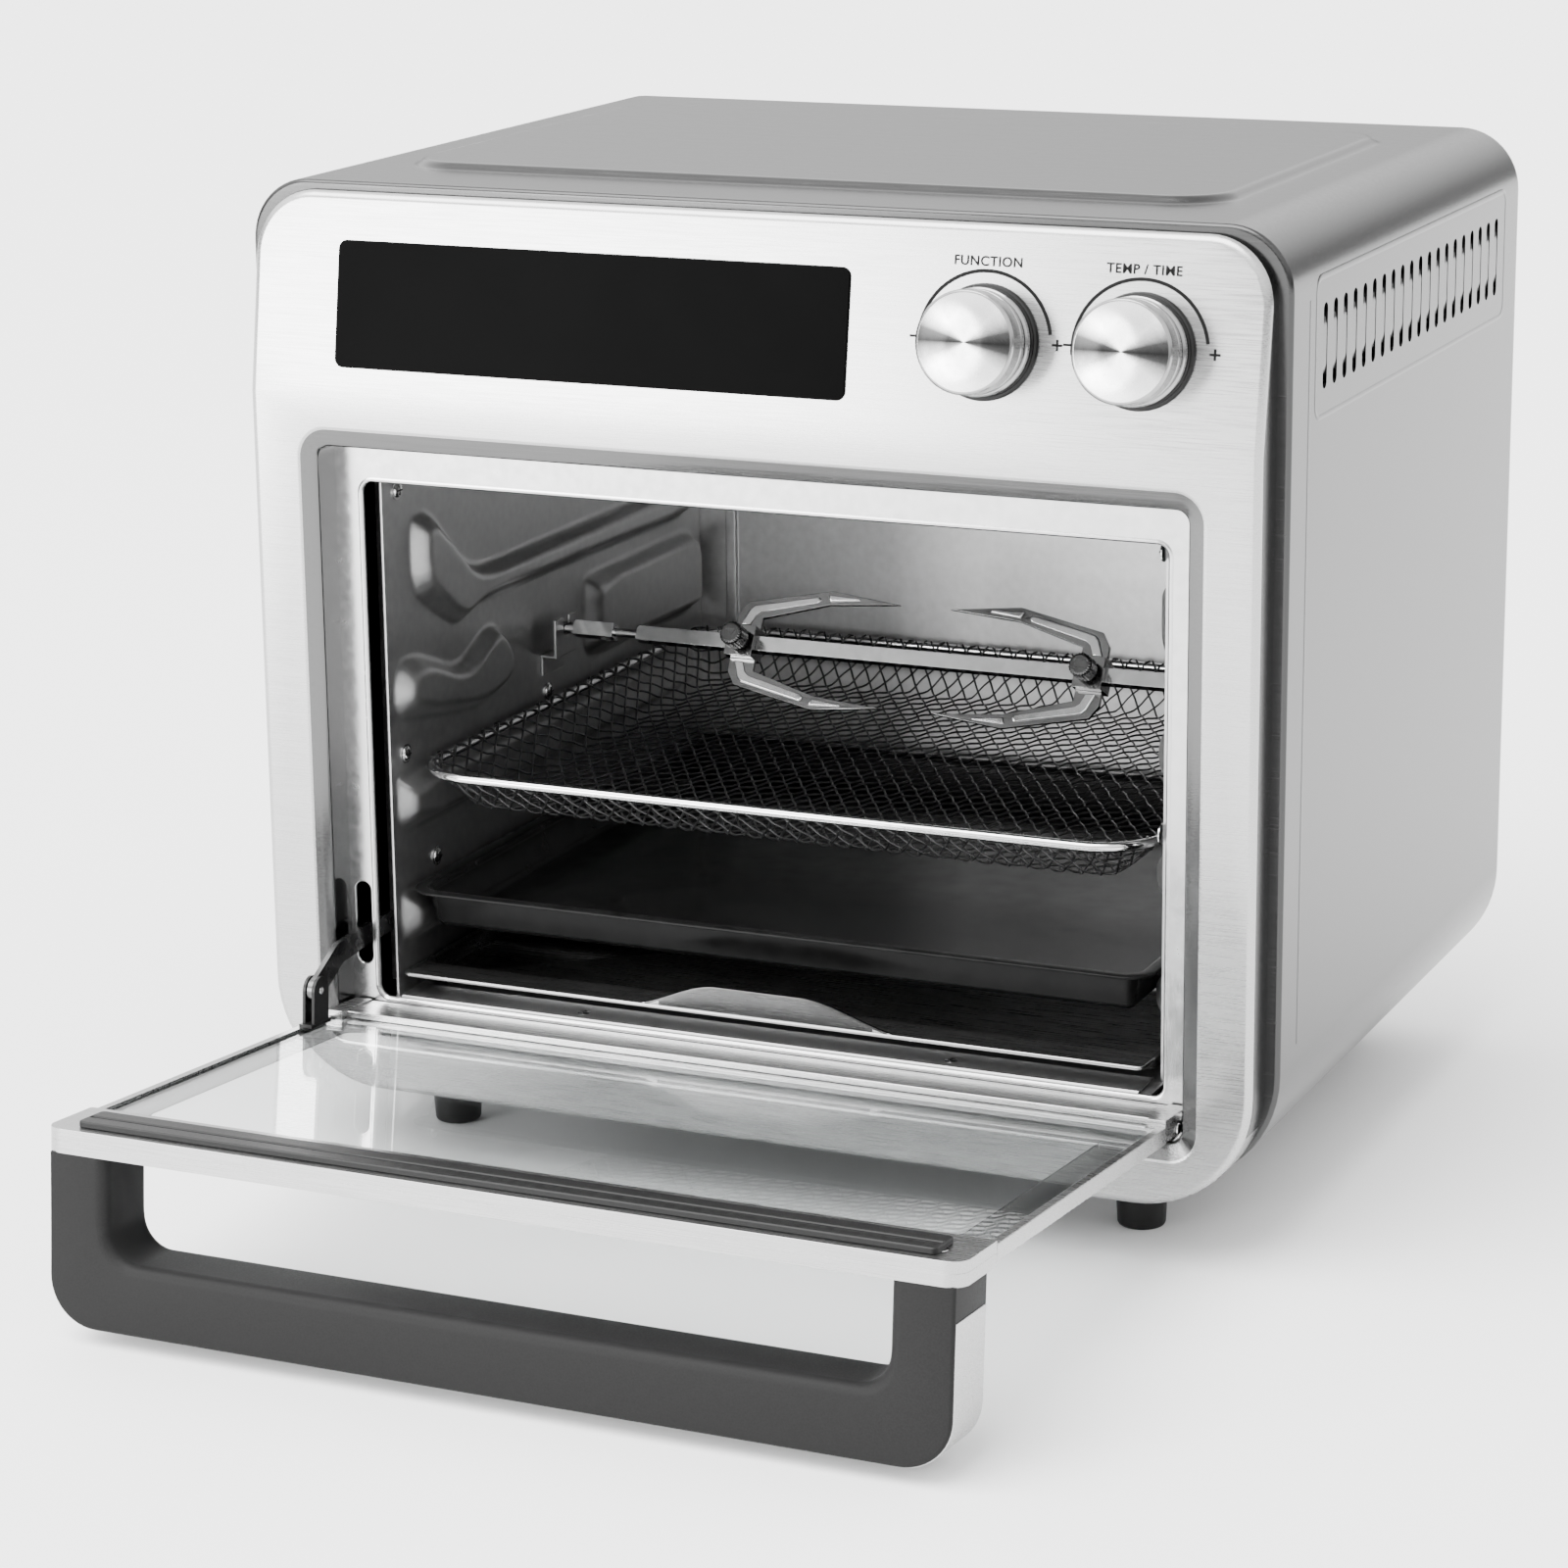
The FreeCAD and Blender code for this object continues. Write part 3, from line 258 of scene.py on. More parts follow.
def trim(thing, node, finish):
    """A small piece that is fixed to the body of a CAD node."""
    thing.data.materials.append(finish)
    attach(thing, NODE_BODY[node])
    return thing


def add(name, data, place=None):
    """An object for some data, in the axes of one part of the oven."""
    thing = bpy.data.objects.new(name, data)
    bpy.context.collection.objects.link(thing)
    if place is not None:
        thing.matrix_world = place
    return thing


def rework(mesh, weld, then, sharp):
    """Join points that meet, do one more mesh step, and shade smooth between sharp edges."""
    work = bmesh.new()
    work.from_mesh(mesh)
    bmesh.ops.remove_doubles(work, verts=work.verts, dist=weld * MM)
    then(work)
    work.to_mesh(mesh)
    work.free()
    mesh.polygons.foreach_set("use_smooth", [True] * len(mesh.polygons))
    mesh.set_sharp_from_angle(angle=math.radians(sharp))


def make(name, parts, place=OVEN, sharp=30):
    """One mesh object from (points, faces) parts, in the axes of one part of the oven."""
    points, faces = [], []
    for some_points, some_faces in parts:
        faces += [tuple(len(points) + index for index in face) for face in some_faces]
        points += some_points
    mesh = bpy.data.meshes.new(name)
    mesh.from_pydata([Vector(point) * MM for point in points], [], faces)
    rework(mesh, 0.01, lambda work: bmesh.ops.recalc_face_normals(work, faces=work.faces), sharp)
    return add(name, mesh, place)


def modify(thing, kind, **settings):
    modifier = thing.modifiers.new(kind.lower(), kind)
    for setting, value in settings.items():
        setattr(modifier, setting, value)
    return thing


def thicken(thing, millimetres, offset=0.0):
    return modify(thing, "SOLIDIFY", thickness=millimetres * MM, offset=offset)


def flatten(thing, weight=100):
    """Keep flat faces looking flat next to rounded ones."""
    return modify(thing, "WEIGHTED_NORMAL", weight=weight, keep_sharp=True)


def soften(thing, width):
    """Round off edges."""
    modify(thing, "BEVEL", width=width * MM, segments=2, limit_method="ANGLE",
           angle_limit=math.radians(30), use_clamp_overlap=True, miter_outer="MITER_ARC")
    return flatten(thing)


def softened(node, width, finish=None):
    """A copy of a CAD node with its edges rounded off."""
    mesh = frame["nodes"][node].data.copy()
    mesh.materials.clear()
    rework(mesh, 0.002, lambda work: bmesh.ops.dissolve_limit(
        work, angle_limit=math.radians(1), verts=work.verts, edges=work.edges), 40)
    return register(soften(add(node + "_soft", mesh), width), node, finish)


def skin(rings, closed=True, cap_first=False, cap_last=False):
    """Faces over rings of equally many points."""
    count = len(rings[0])
    points = [point for ring in rings for point in ring]
    faces = []
    for row in range(len(rings) - 1):
        for step in range(count if closed else count - 1):
            here, after = row * count + step, row * count + (step + 1) % count
            faces.append((here, after, after + count, here + count))
    if cap_first:
        faces.append(tuple(range(count)))
    if cap_last:
        faces.append(tuple(range(len(points) - count, len(points))))
    return points, faces


def rounded_ring(left, right, low, high, low_radius, high_radius=None, steps=10, marks=()):
    """A rounded rectangle, with extra points at some heights on both upright sides."""
    high_radius = low_radius if high_radius is None else high_radius
    corners = ((right - low_radius, low + low_radius, low_radius),
               (right - high_radius, high - high_radius, high_radius),
               (left + high_radius, high - high_radius, high_radius),
               (left + low_radius, low + low_radius, low_radius))
    ring = []
    for turn, (x, z, radius) in enumerate(corners):
        for step in range(steps + 1):
            angle = math.radians(90 * (turn - 1 + step / steps))
            ring.append((x + radius * math.cos(angle), z + radius * math.sin(angle)))
        if turn == 0:
            ring += [(right, mark) for mark in sorted(marks)]
        if turn == 2:
            ring += [(left, mark) for mark in sorted(marks, reverse=True)]
    return ring


def inside(point, loop):
    x, y = point
    hit = False
    for (x0, y0), (x1, y1) in zip(loop, loop[1:] + loop[:1]):
        if (y0 > y) != (y1 > y) and x < (x1 - x0) * (y - y0) / (y1 - y0) + x0:
            hit = not hit
    return hit


def plate(outer, holes, lift):
    """A flat face with holes. lift turns its two coordinates into a point."""
    flat, edges = [], []
    for loop in [outer, *holes]:
        first = len(flat)
        flat += [Vector(point) for point in loop]
        edges += [(first + step, first + (step + 1) % len(loop)) for step in range(len(loop))]
    spots, _, triangles, *_ = delaunay_2d_cdt(flat, edges, [], 0, 1e-4)
    kept = []
    for triangle in triangles:
        middle = sum((spots[index] for index in triangle), Vector((0, 0))) / 3
        if inside(middle, outer) and not any(inside(middle, hole) for hole in holes):
            kept.append(tuple(triangle))
    return [lift(*spot) for spot in spots], kept


def shifted(centre, axis, along, a, b):
    """A point at a distance along an axis from a centre, and at two distances across it."""
    offset = {"x": (along, a, b), "y": (a, along, b), "z": (a, b, along)}[axis]
    return tuple(c + o for c, o in zip(centre, offset))


def lathe(profile, axis, centre, steps, ripple=None):
    """Turn a profile of (radius, distance along the axis) round an axis."""
    rings = []
    for radius, along in profile:
        ring = []
        for step in range(steps):
            angle = 2 * math.pi * step / steps
            size = radius * (1 + (ripple(angle) if ripple and radius > 1e-6 else 0))
            a, b = size * math.cos(angle), size * math.sin(angle)
            ring.append(shifted(centre, axis, along, a, b))
        rings.append(ring)
    return skin(rings, cap_first=profile[0][0] > 1e-6, cap_last=profile[-1][0] > 1e-6)


def tube(name, lines, radius, cyclic, sides):
    """Wires along lines of points, as one curve."""
    curve = bpy.data.curves.new(name, "CURVE")
    curve.dimensions = "3D"
    curve.bevel_depth = radius * MM
    curve.bevel_resolution = sides
    curve.use_fill_caps = True
    for line in lines:
        spline = curve.splines.new("POLY")
        spline.points.add(len(line) - 1)
        spline.use_cyclic_u = cyclic
        spline.use_smooth = True
        for point, spot in zip(spline.points, line):
            point.co = (*(Vector(spot) * MM), 1)
    return add(name, curve, OVEN)


def smooth(value):
    value = min(1.0, max(0.0, value))
    return value * value * (3 - 2 * value)


def roundover(radius):
    """(inset, depth) pairs that carry a side round a soft edge onto the front."""
    turns = [math.radians(90 * step / 5) for step in range(6)]
    return [(radius * (1 - math.cos(turn)), radius * (1 - math.sin(turn))) for turn in turns]


# ---------------------------------------------------------------- bezel

def panel_height(up):
    """Height of a point some way up the slope of the panel."""
    return PANEL_FOOT + up * math.cos(LEAN)


def bezel():
    """Brushed front: soft outer edge, control panel leaning back, bevelled door recess."""
    def outline(inset):
        return rounded_ring(inset - 200, 200 - inset, 23.5 + inset, 375 - inset,
                            45 - inset, 24 - inset, steps=14, marks=(PANEL_FOOT,))

    def lean(z):
        return max(0.0, z - PANEL_FOOT) * math.tan(LEAN)

    rings = [[(x, 16, z) for x, z in outline(0)]]
    rings += [[(x, lean(z) + depth, z) for x, z in outline(inset)] for inset, depth in roundover(3)]
    edge = outline(3)
    lower = [point for point in edge if point[1] <= PANEL_FOOT + 0.01]
    upper = [point for point in edge if point[1] >= PANEL_FOOT - 0.01]
    half, low, high, corner = 180.5, 40.7, 288, 12.5
    lip = [(0, 0.0), (0.07, 0.08), (0.16, 0.35), (0.5, 1.1), (0.86, 1.95), (0.95, 2.4), (1, 3.2),
           (1, 15)]
    recess = [[(x, depth, z) for x, z in rounded_ring(
        7.5 * share - half, half - 7.5 * share, low + 7.8 * share, high - 8 * share,
        corner - 7.5 * share)] for share, depth in lip]
    window = [(x, panel_height(up)) for x, up in rounded_ring(-163.4, 44, 10.7, 58.1, 3.5, steps=6)]
    holes = [[(x + 4 * math.cos(turn), panel_height(DIAL_UP + 4 * math.sin(turn)))
              for turn in np.linspace(0, 2 * math.pi, 24, endpoint=False)] for x in DIAL_PLACES]
    window_sides = [[(x, lean(z) + depth, z) for x, z in window] for depth in (0, 1.6)]
    parts = [skin(rings), skin(recess), skin(window_sides),
             plate(lower, [rounded_ring(-half, half, low, high, corner)], lambda x, z: (x, 0, z)),
             plate(upper, [window, *holes], lambda x, z: (x, lean(z), z))]
    thing = register(flatten(make("bezel", parts, sharp=50)), "front_bezel")
    thing.data.materials.append(CASING)
    thing.data.materials.append(RECESS_PAINTED_SHADE)
    for face in thing.data.polygons:
        x, depth, z = face.center / MM
        past_face = depth - lean(z)
        # Faces inside the door recess take the darker copy of the bezel steel: painted shade.
        if abs(x) < half - 0.3 and low + 0.3 < z < high - 0.3 and past_face > 0.5:
            face.material_index = 2
        elif past_face > 2.2 and (abs(x) > 197 or z > 350 or z < 40):
            face.material_index = 1


def casing():
    """Wrapped body: hemmed front edge, raised field on top and pressed louvres in the sides."""
    def outline(inset):
        return rounded_ring(inset - CASING_HALF, CASING_HALF - inset, foot + inset, TOP - inset,
                            45 - inset, 24 - inset, steps=corner_points - 1)

    foot, corner_points, ends = 28, 15, (CASING_FRONT, CASING_BACK)
    hem = [(6.5, 17.2), (6.5, 16.0)]
    hem += [(inset, 16 + depth) for inset, depth in reversed(roundover(1.8))]
    parts = [skin([[(x, depth, z) for x, z in outline(inset)] for inset, depth in hem])]
    corners = outline(0)
    for first in range(0, 4 * corner_points, corner_points):
        corner = corners[first:first + corner_points]
        parts.append(skin([[(x, depth, z) for x, z in corner] for depth in ends], closed=False))
    for side in (-1, 1):
        parts.append(skin([[(side * x, depth, foot) for x in (150, 160)] for depth in ends],
                          closed=False))
        parts += louvred_side(side)
    parts.append(raised_top())
    register(flatten(make("casing", parts, sharp=50), 80), "outer_casing")


def louvred_side(side):
    """One flat side with its row of slots, each backed by a pressed tab."""
    slots = []
    parts = []
    low, high, width = 316.5, 347, 4.8
    tab_low, tab_high = low + 2, high - 2
    for row in range(20):
        start = 51.2 + 11.7 * row
        slots.append(rounded_ring(start, start + width, low, high, 2.35, steps=5))
        walls = [[(side * (CASING_HALF - sunk), depth + shift, z) for depth, z in slots[-1]]
                 for sunk, shift in ((0, 0), (0.5, 0.1), (2, 0.3))]
        parts.append(skin(walls))
        tab = []
        for z in np.linspace(tab_low, tab_high, 9):
            swell = smooth((z - tab_low) / 4) * smooth((tab_high - z) / 4)
            tab.append([(side * (CASING_HALF - 4 + 3.85 * swell), start + 2.4 + 2.9 * along, z)
                        for along in (-1.0, -0.6, 0.0, 0.6, 1.0)])
        parts.append(skin(tab, closed=False))
    parts.append(bead(side, [(36, 80), (36, 350)], False))
    parts.append(bead(side, rounded_ring(43, 289, 307, 356.5, 5, steps=4), True))
    edge = [(CASING_FRONT, 73), (CASING_BACK, 73), (CASING_BACK, 354.3), (CASING_FRONT, 354.3)]
    parts.append(plate(edge, slots, lambda depth, z: (side * CASING_HALF, depth, z)))
    return parts


def bead(side, line, closed):
    """A faint raised line along points of a flat side."""
    spots = [Vector(point) for point in line]
    rings = []
    for index, spot in enumerate(spots):
        before = spots[index - 1] if closed or index else spot
        after = spots[(index + 1) % len(spots)] if closed or index + 1 < len(spots) else spot
        way = (after - before).normalized()
        across = Vector((-way.y, way.x))
        section = []
        for offset, rise in ((-1.1, -0.02), (-0.5, 0.12), (0.0, 0.18), (0.5, 0.12), (1.1, -0.02)):
            place = spot + across * offset
            section.append((side * (CASING_HALF + rise), place.x, place.y))
        rings.append(section)
    return skin(rings + rings[:1] if closed else rings, closed=False)


def raised_top():
    """The flat top with a softly raised field."""
    half, half_depth, middle, corner = 166, 105, 160, 24

    def rise(x, depth):
        reach_x, reach_y = abs(x) - (half - corner), abs(depth - middle) - (half_depth - corner)
        outside = math.hypot(max(reach_x, 0), max(reach_y, 0)) + min(max(reach_x, reach_y), 0)
        return 2.6 * smooth((corner - outside) / 4.5)
    columns = np.linspace(-181, 181, 363)
    rows = np.linspace(CASING_FRONT, CASING_BACK, 290)
    return skin([[(x, depth, TOP + rise(x, depth)) for x in columns] for depth in rows],
                closed=False)


# ---------------------------------------------------------------- cavity

# Outlines of the pressed ribs, as (depth, height).
RIBS = (
    [(38, 217), (38, 244), (42, 247), (54, 247), (84, 219), (100, 217), (286, 217), (286, 200),
     (100, 202), (87, 201), (73, 196)],
    [(22, 170), (22, 190), (38, 194), (53, 188), (73, 180), (98, 192), (107, 190), (116, 180),
     (116, 168), (106, 162), (84, 160)],
    [(184, 158), (184, 190), (190, 194), (286, 194), (294, 188), (294, 160), (288, 157)],
    [(20, 124), (20, 145.6), (24, 146.9), (286, 146.9), (286, 124)],
    [(20, 79), (20, 99.4), (24, 100.7), (286, 100.7), (286, 79)],
)


def rounded_corners(loop, reach=11.0):
    """The loop with each corner replaced by a curve."""
    line = []
    spots = [Vector(spot) for spot in loop]
    for before, spot, after in zip(spots[-1:] + spots[:-1], spots, spots[1:] + spots[:1]):
        start = spot + (before - spot) * min(0.5, reach / (before - spot).length)
        end = spot + (after - spot) * min(0.5, reach / (after - spot).length)
        for share in (0.0, 0.25, 0.5, 0.75, 1.0):
            place = start.lerp(spot, share).lerp(spot.lerp(end, share), share)
            if not line or (place - line[-1]).length > 0.05:
                line.append(place)
    return [tuple(place) for place in line]


def depth_inside(points, loop):
    """How far each point is inside a loop, negative outside."""
    reach = np.full(len(points), 1e9)
    odd = np.zeros(len(points), dtype=bool)
    for (x0, y0), (x1, y1) in zip(loop, loop[1:] + loop[:1]):
        along = np.array([x1 - x0, y1 - y0], float)
        offset = points - (x0, y0)
        share = np.clip(offset @ along / (along @ along), 0, 1)
        reach = np.minimum(reach, np.linalg.norm(offset - share[:, None] * along, axis=1))
        if y0 != y1:
            crossing = x0 + (points[:, 1] - y0) * (x1 - x0) / (y1 - y0)
            odd ^= ((y0 > points[:, 1]) != (y1 > points[:, 1])) & (points[:, 0] < crossing)
    return np.where(odd, reach, -reach)


def pressed_wall(side):
    """Side wall pressed into soft ribs, with a flange behind the mouth."""
    first, last = 18.4 if side < 0 else 33.4, 300.4
    rib_rise, end_length = 6, 26
    depths = np.concatenate([[first], np.arange(first + 1.2, last, 1.3), [last]])
    heights = np.arange(60, 272.4, 1.3)
    grid = np.array([(depth, z) for depth in depths for z in heights])
    rise = np.zeros(len(grid))
    for loop in RIBS:
        loop = rounded_corners([(max(depth, first + 3), z) for depth, z in loop])
        reach = depth_inside(grid, loop)
        start = min(depth for depth, z in loop)
        back_from_end = np.clip((grid[:, 0] - start) / end_length, 0, 1)
        ramp = np.clip(reach / (10.5 - 5 * back_from_end), 0, 1)
        soft = ramp * ramp * (3 - 2 * ramp)
        round_end = np.sin(ramp * math.pi / 2)
        rise = np.maximum(rise, rib_rise * (round_end + (soft - round_end) * back_from_end))
    rows = [[(side * x, depth, z) for z in heights] for x, depth in (
        (168, first + 18), (158, first + 18), (157, first + 17), (156.6, first + 1.2),
        (156.2, first + 0.2), (155.5, first - 0.1))]
    count = len(heights)
    for row, depth in enumerate(depths):
        lifts = rise[row * count:(row + 1) * count]
        rows.append([(side * (WALL_HALF - lift), depth, z) for z, lift in zip(heights, lifts)])
    points, faces = skin(rows, closed=False)
    if side > 0:
        faces = [face for face in faces if math.hypot(
            points[face[0]][1] - SPIT_DEPTH, points[face[0]][2] - SPIT_HEIGHT) > 9.2]
    node = "cavity_left_wall" if side < 0 else "cavity_right_wall"
    register(thicken(make(node + "_pressed", [(points, faces)], sharp=60), 0.8, -side), node)


def mouth_hem():
    """Rolled edge round the mouth of the cavity."""
    rings = []
    for turn in np.linspace(-90, 180, 10):
        angle = math.radians(turn)
        inset, depth = 1.3 * math.cos(angle), 16.1 - 1.3 * math.sin(angle)
        rings.append([(x, depth, z) for x, z in rounded_ring(
            inset - 162.6, 162.6 - inset, 59.2 + inset, 265.8 - inset, 5.5 - inset)])
    trim(make("mouth_hem", [skin(rings)]), "cavity_front_frame", FRAME)


def cross_head(radius, rise, axis, centre, toward):
    """A domed screw head with a cross recess, on a small washer."""
    profile = [(radius * 1.25, 0), (radius * 1.25, 0.5 * toward), (radius, 0.55 * toward)]
    profile += [(radius * math.cos(turn), (0.55 + rise * math.sin(turn)) * toward)
                for turn in np.linspace(0.2, math.pi / 2, 6)]
    return lathe(profile, axis, centre, 24)


def cross_slots(radius, rise, axis, centre, toward):
    """The dark cross of a screw head."""
    low, high = (0.55 + rise * 0.55) * toward, (0.6 + rise) * toward
    parts = []
    for wide, tall in ((radius * 0.62, 0.28), (0.28, radius * 0.62)):
        loop = [(-wide, -tall), (wide, -tall), (wide, tall), (-wide, tall)]
        rings = []
        for along in (low, high):
            rings.append([shifted(centre, axis, along, a, b) for a, b in loop])
        parts.append(skin(rings, cap_first=True, cap_last=True))
    return parts


def screws(places, axis, radius, rise):
    """Screw heads and their crosses: places are (centre, direction along the axis)."""
    heads = [cross_head(radius, rise, axis, *place) for place in places]
    slots = [part for place in places for part in cross_slots(radius, rise, axis, *place)]
    return heads, slots


def wall_screws():
    places = [((side * WALL_HALF, depth, z), -side) for side in (-1, 1)
              for depth, z in ((151, 152), (30, 155), (52, 108), (30, 259))]
    heads, slots = screws(places, "x", 3.0, 1.1)
    register(make("cavity_screw_heads", heads), "cavity_screws")
    trim(make("cavity_screw_slots", slots), "cavity_screws", BLACK)


# ---------------------------------------------------------------- racks

def flat_ring(half, front, back, inset, radius, z, steps):
    """A level rounded rectangle, inset all round."""
    ring = rounded_ring(inset - half, half - inset, front + inset, back - inset, radius, steps=steps)
    return [(x, depth, z) for x, depth in ring]


def pan():
    """Enamelled pan, from (inset, height) stations: up the inside, over the lip, down the outside."""
    inner = [(16, 87.1), (12.6, 87.2), (10.6, 88.0), (9.2, 89.6), (7.0, 99.5), (6.3, 101.3),
             (5.2, 102.1)]
    lip = [(4.4, 102.2), (1.0, 102.2), (0.3, 102.0), (0.0, 101.6), (0.1, 101.1), (0.8, 101.0),
           (4.4, 101.0)]
    outer = [(5.3, 100.6), (6.0, 99.3), (8.2, 89.0), (9.8, 87.0), (12.4, 86.1), (16, 86.0)]
    rings = [flat_ring(153, 21.5, 292, inset, max(12 - inset, 3), z, 8)
             for inset, z in inner + lip + outer]
    register(make("pan", [skin(rings, cap_first=True, cap_last=True)], sharp=60), "baking_pan")


BASKET_RIM, BASKET_SLOPE = 149, 20.0          # height of the rim, and inset of the flat bottom


def basket_path(out):
    """A wire's inset from the rim's line, and its height, a distance out from the flat bottom.

    The sheet turns up through a bend, runs up the sloping wall and clenches round the rim.
    """
    bend, turned, wall, clench, inset, bottom = 6.0, 0.79, 19.0, 2.3, BASKET_SLOPE, 133.0
    if out < 0:
        return inset - out, bottom
    turn = min(out / bend, turned)
    start = inset - bend * math.sin(turn), bottom + bend * (1 - math.cos(turn))
    rest = (out - bend * turned) / wall
    if rest <= 0:
        return start
    if rest > 1.0:
        turn = (rest - 1.0) * wall / clench
        return (clench * math.cos(turn),
                BASKET_RIM + clench * math.sin(turn) - 0.8 * (1 - min(turn, 1)))
    return start[0] + (2.4 - start[0]) * rest, start[1] + (148.2 - start[1]) * rest


def basket_point(x, y, half, depth_half, corner, crimp):
    """Fold a point of the flat sheet onto the tub. Returns the point and how far out it is."""
    core = np.array([half - corner, depth_half - corner])
    reach = np.abs([x, y]) - core
    outside = np.maximum(reach, 0)
    length = math.hypot(*outside)
    out = (length if length > 0 else max(reach)) - (corner - BASKET_SLOPE)
    inset, z = basket_path(out)
    if out <= 0:
        return (x, y, z + crimp), out
    place = np.minimum(np.abs([x, y]), core) + outside / length * (corner - inset)
    return (math.copysign(place[0], x), math.copysign(place[1], y), z + crimp), out


def basket():
    """Bright rim wire with a woven sheet folded into a tub and clenched round three of its sides."""
    half, front, back, corner = 150.0, 24.0, 292.0, 24.0
    rim = flat_ring(half, front, back, 0, corner, BASKET_RIM, 10)
    register(tube("basket_rim_wire", [rim], 1.85, True, 5), "basket_rim")
    middle, depth_half = (front + back) / 2, (back - front) / 2
    limit_front, limit = 24.7, 29.0
    slant, pitch, stride, wave = math.radians(59), 6.15, 2.4, 7.0
    lines = []
    for family in (-1, 1):
        direction = np.array([math.cos(slant), family * math.sin(slant)])
        normal = np.array([-direction[1], direction[0]])
        for row in range(-40, 41):
            line = []
            for step in range(-150, 151):
                x, y = normal * pitch * row + direction * stride * step
                crimp = 0.38 * family * math.cos(math.pi * (stride * step) / wave + row * math.pi)
                point, out = basket_point(x, y, half, depth_half, corner, crimp)
                if out > (limit_front if point[1] < -depth_half + 12 else limit):
                    if len(line) > 3:
                        lines.append(line)
                    line = []
                    continue
                line.append((point[0], point[1] + middle, point[2]))
            if len(line) > 3:
                lines.append(line)
    register(tube("basket_weave", lines, 0.46, False, 0), "basket_mesh")


def crumb_tray():
    """Flat tray with a shelf along its front, and an upright pull in the middle of its edge."""
    front, pull_foot = 17.4, 70.3

    def loop(inset, z, shelf):
        return flat_ring(153.0, front + shelf, 296.0, inset, 3, z, 4)

    stations = [(1.6, 68.2, 0), (0.4, 68.4, 0), (0.0, 69.0, 0), (0.0, 69.6, 0), (0.5, 70.1, 0),
                (1.3, 70.0, 0), (1.4, 69.3, 16), (2.6, 68.6, 17), (3.4, 64.0, 18), (4.5, 63.0, 19)]
    under = [(4.5, 62.2, 19), (2.6, 62.6, 17), (1.8, 67.6, 15), (1.6, 68.2, 0)]
    shelf = [skin([loop(*station) for station in stations], cap_last=True),
             skin([loop(*station) for station in under], cap_first=True)]
    rings = []
    for x in np.linspace(-56, 62, 61):
        crest = 69.4 + 10.6 * smooth((x + 56) / 38) * smooth((62 - x) / 46)
        section = [(0.5, 69.0), (0.3, crest - 0.9), (0.5, crest - 0.2), (1.0, crest),
                   (1.6, crest - 0.2), (1.8, crest - 0.9), (1.6, 69.0)]
        rings.append([(x, front + depth, z) for depth, z in section])
    pull = skin(rings, cap_first=True, cap_last=True)
    thing = register(make("tray_pressed", shelf + [pull], sharp=50), "crumb_tray")
    thing.data.materials.append(PULL)
    for face in thing.data.polygons:
        face.material_index = 1 if face.center.z > pull_foot * MM else 0


def mouth_flange():
    """Folded strip along the bottom of the mouth, with its two screws."""
    stations = [(15.2, 60.4), (15.0, 61.0), (15.6, 61.5), (29.6, 61.7), (30.4, 62.0), (30.6, 61.6),
                (30.0, 61.0), (15.6, 60.6)]
    strip = skin([[(x, depth, z) for depth, z in stations] for x in (-152, 152)],
                 cap_first=True, cap_last=True)
    trim(make("mouth_flange", [strip]), "cavity_front_frame", ZINC)
    places = [((x, 22, 60.9), 1) for x in (-76, 76)]
    heads, slots = screws(places, "z", 2.6, 0.6)
    trim(make("mouth_screw_heads", heads), "cavity_front_frame", POLISHED)
    trim(make("mouth_screw_slots", slots), "cavity_front_frame", BLACK)


# ---------------------------------------------------------------- spit

FORK_MIRROR = 15.2                            # the two forks mirror each other about half of this x
# Outlines of the beads on a prong of the left fork, as (x, distance from the rod).
FORK_PADS = ([(-70, 7.5), (-67.4, 14.2), (-65.6, 16.0), (-38, 21.8), (-37, 20.3), (-38, 19.2),
              (-62.8, 13.2), (-64.6, 11.6), (-66.2, 7.5)],
             [(-34.5, 22.9), (-20.5, 22.4), (-20.2, 21.8), (-33.6, 20.4)])


def forks():
    for side, node in ((-1, "fork_left"), (1, "fork_right")):
        softened(node, 0.45)
        pads = []
        for pad in FORK_PADS:
            for mirror in (-1, 1):
                for face in (-1, 1):
                    pads.append(fork_pad(pad, side, mirror, face))
        trim(soften(make(node + "_beads", pads, SPIT, sharp=25), 0.25), node, POLISHED)


def fork_pad(pad, side, mirror, face):
    """A low bead pressed up along a prong."""
    loop = [((FORK_MIRROR - x if side > 0 else x), mirror * z) for x, z in pad]
    middle = np.mean(loop, axis=0)
    rings = []
    for shrink, rise in ((0.0, 0.9), (0.25, 1.4), (0.6, 1.65)):
        ring = []
        for x, z in loop:
            away = np.array([x, z]) - middle
            spot = np.array([x, z]) - away / np.linalg.norm(away) * shrink
            ring.append((spot[0], face * rise, spot[1]))
        rings.append(ring)
    return skin(rings, cap_last=True)


def thumb_screws():
    profile = [(0, -17), (3.6, -17), (4.3, -16.6), (4.75, -15.9), (4.75, -9.1), (4.3, -8.4),
               (3.6, -8), (3.2, -8), (3.2, -6.2), (1.95, -6.2), (1.95, -3.1), (0, -3.1)]
    for node, x in (("thumb_screw_left", -66.8), ("thumb_screw_right", 82.0)):
        head = lathe(profile, "y", (x, 0, 0), 144, lambda angle: 0.035 * math.cos(24 * angle))
        register(make(node + "_knurled", [head], SPIT, sharp=25), node, ARM)


# ---------------------------------------------------------------- controls

